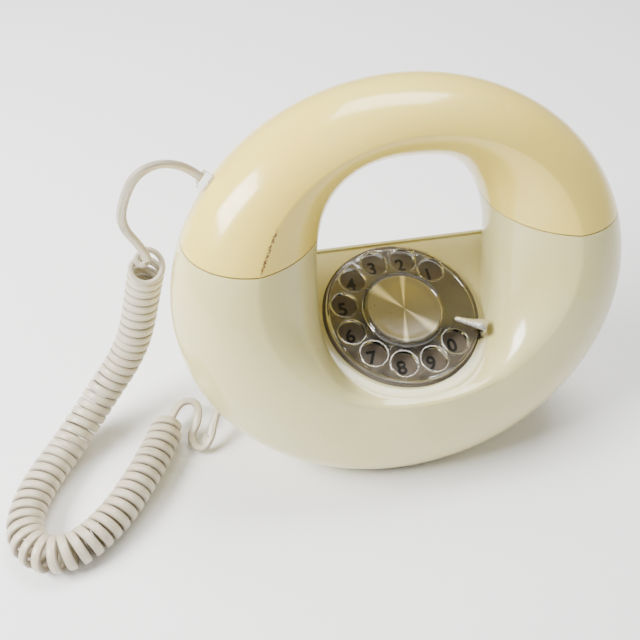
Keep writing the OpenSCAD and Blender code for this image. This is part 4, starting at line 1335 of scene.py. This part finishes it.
# ---------------------------------------------------------------- dial
@dataclass(frozen=True)
class Dial:
    """Clear finger wheel, bezel, spun disc, figures and finger stop, in millimetres over the panel."""

    wheel_r: float = 38.1
    web: tuple[float, float] = (2.2, 4.4)
    lip: tuple[float, float] = (0.4, 1.7)
    hole_r: float = 6.35
    circle_r: float = 29.2
    holes: int = 10
    first: float = 45.0
    spacing: float = 30.0
    disc_r: float = 18.7
    plate_z: float = -1.2

    def build(self, shop: Workshop) -> None:
        """Builds and seats every dial piece."""
        shop.seat(self.wheel(), "clear_acrylic", Body.ROTOR, "finger_wheel")
        shop.seat(self.collars(shop), "clear_acrylic", Body.ROTOR)
        shop.seat(self.bezel(), "clear_acrylic", Body.ROTOR, "centre_bezel")
        shop.seat(self.disc(), "spun_disc", Body.ROTOR, "centre_disc")
        shop.seat(self.figures(), "number_ink", Body.BASE)
        shop.seat(self.stop(), "bright_stop", Body.BASE, "finger_stop")

    def wheel(self) -> bpy.types.Object:
        """Clear wheel with its rolled rim and finger holes."""
        r, (low, high), (lip, wall) = self.wheel_r, self.web, self.lip
        body = lathe("finger_wheel_clear", (
            (3.2, low), (r - wall, low), (r - wall, lip + 0.3), (r - wall + 0.4, lip), (r - 0.4, lip),
            (r, lip + 0.4), (r, high - 0.9), (r - 0.3, high - 0.3), (r - 0.9, high), (3.2, high)), 160)
        bm = bmesh.new()
        for k in range(self.holes):
            a = math.radians(self.first + self.spacing * k)
            place = Matrix.Translation((self.circle_r * MM * math.cos(a), self.circle_r * MM * math.sin(a), 0.003))
            bmesh.ops.create_cone(bm, cap_ends=True, segments=48, radius1=self.hole_r * MM,
                                  radius2=self.hole_r * MM, depth=0.02, matrix=place)
        cutter = new_object("cutter", bm)
        modify(body, "BOOLEAN", operation="DIFFERENCE", object=cutter, solver="EXACT")
        settle(body)
        bpy.data.objects.remove(cutter)
        bevelled(body, 0.3, 2, 60.0)
        body.data.transform(PANEL.matrix())
        return body

    def collars(self, shop: Workshop) -> bpy.types.Object:
        """Raised collar round each finger hole, repeated by the turn pattern."""
        r, top = self.hole_r, self.web[1]
        collar = lathe("finger_hole_collars", (
            (r + 0.05, top + 0.02), (r + 0.05, top + 0.3), (r + 0.3, top + 0.5),
            (r + 0.7, top + 0.5), (r + 1.0, top + 0.25), (r + 1.0, top + 0.02)), 40)
        return repeat_round(collar, shop.pattern, {
            "Radius": self.circle_r * MM, "Places": 12, "Filled": self.holes, "Start": math.radians(self.first),
            "Tilt": math.radians(PANEL.tilt), "Place": HUB,
            "Finish": shop.made["clear_acrylic"]})

    def bezel(self) -> bpy.types.Object:
        """Clear ring that holds the disc."""
        r, top = self.disc_r, self.web[1]
        return settle(lathe("centre_ring_clear", (
            (r + 0.05, top + 0.02), (r + 0.05, top + 1.9), (r + 0.3, top + 2.4), (r + 0.9, top + 2.6),
            (r + 1.5, top + 2.3), (r + 1.95, top + 1.5), (r + 2.0, top + 0.6), (r + 1.9, top + 0.02)), 128,
            PANEL.matrix()))

    def disc(self) -> bpy.types.Object:
        """Spun metal disc with a rolled edge and a shallow dish."""
        r, top = self.disc_r - 0.05, self.web[1]
        return settle(lathe("spun_centre_disc", (
            (0.01, top + 0.05), (r, top + 0.05), (r, top + 1.5), (r - 0.4, top + 2.0), (r - 1.2, top + 2.15),
            (r - 2.0, top + 1.9), (r - 5, top + 1.75), (r - 11, top + 1.7), (0.01, top + 1.7)), 128,
            PANEL.matrix()))

    def figures(self) -> bpy.types.Object:
        """Figures 1 to 9 and 0 on the number plate."""
        parts = []
        for k in range(self.holes):
            a = math.radians(self.first + self.spacing * k)
            curve = bpy.data.curves.new("figure", "FONT")
            curve.body = str((k + 1) % 10)
            curve.size, curve.extrude, curve.offset = 0.0098, 0.00006, 0.00022
            curve.resolution_u = 6
            curve.align_x, curve.align_y = "CENTER", "CENTER"
            text = bpy.data.objects.new("figure", curve)
            bpy.context.scene.collection.objects.link(text)
            bpy.context.view_layer.update()
            mesh = bpy.data.meshes.new_from_object(text.evaluated_get(bpy.context.evaluated_depsgraph_get()))
            bpy.data.objects.remove(text)
            solid = bpy.data.objects.new("figure", mesh)
            bpy.context.scene.collection.objects.link(solid)
            mesh.transform(PANEL.matrix() @ Matrix.Translation(Vector((
                self.circle_r * math.cos(a), self.circle_r * math.sin(a), self.plate_z + 0.08)) * MM))
            parts.append(solid)
        return joined("dial_figures", parts)

    def stop(self) -> bpy.types.Object:
        """Bent finger stop with its leg outside the wheel."""
        top = self.web[1] + 2.2
        outline = np.array([[25.6, -1.0], [27.5, -1.5], [31.0, -1.9], [35.0, -2.4], [38.0, -3.0], [41.2, -3.0],
                            [41.2, 3.0], [38.0, 3.0], [35.0, 1.9], [31.0, 1.2], [27.5, 1.1], [25.6, 1.0],
                            [25.1, 0.5], [25.1, -0.5]])
        arm = plate("stop_arm", [outline], top, top + 1.2)
        leg = rounded_box((1.3, 6.0, top + 3.4), (40.6, 0, (top - 2.6) / 2 + 0.2), "stop_leg", 0.3)
        made = joined("finger_stop_bright", [bevelled(arm, 0.35), leg])
        made.data.transform(PANEL.matrix() @ Matrix.Rotation(math.radians(STOP_ANGLE), 4, "Z"))
        return made


@dataclass(frozen=True)
class Plugs:
    """Contacts in the two clear plugs."""

    pitch: float = 1.1
    count: int = 4
    contact: tuple[float, float, float] = (3.2, 0.35, 1.2)

    def build(self, shop: Workshop) -> None:
        """Builds the contacts of both plugs."""
        for node, body in (("handset_plug", Body.HANDSET), ("base_plug", Body.BASE)):
            low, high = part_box(node)
            middle = (low + high) / 2
            parts = []
            for k in range(self.count):
                across = middle.y / MM + (k - (self.count - 1) / 2) * self.pitch
                where = (middle.x / MM - 0.5, across, middle.z / MM + 1.2)
                parts.append(rounded_box(self.contact, where, "contact", 0.1))
            shop.seat(joined(node + "_contacts", parts), "contact_gold", body)
            shop.dress_node(node, "clear_acrylic")


def main() -> None:
    """Builds the telephone's looks in order."""
    logging.basicConfig(level=logging.INFO, format="%(name)s %(message)s")
    Studio().build()
    shop = Workshop()
    HandsetCord().build(shop)
    BaseHousing().build(shop)
    Handset().build(shop)
    Dial().build(shop)
    Plugs().build(shop)
    for finish, nodes in NODE_FINISHES.items():
        for node in nodes:
            shop.dress_node(node, finish)


if __name__ == "__main__":
    main()
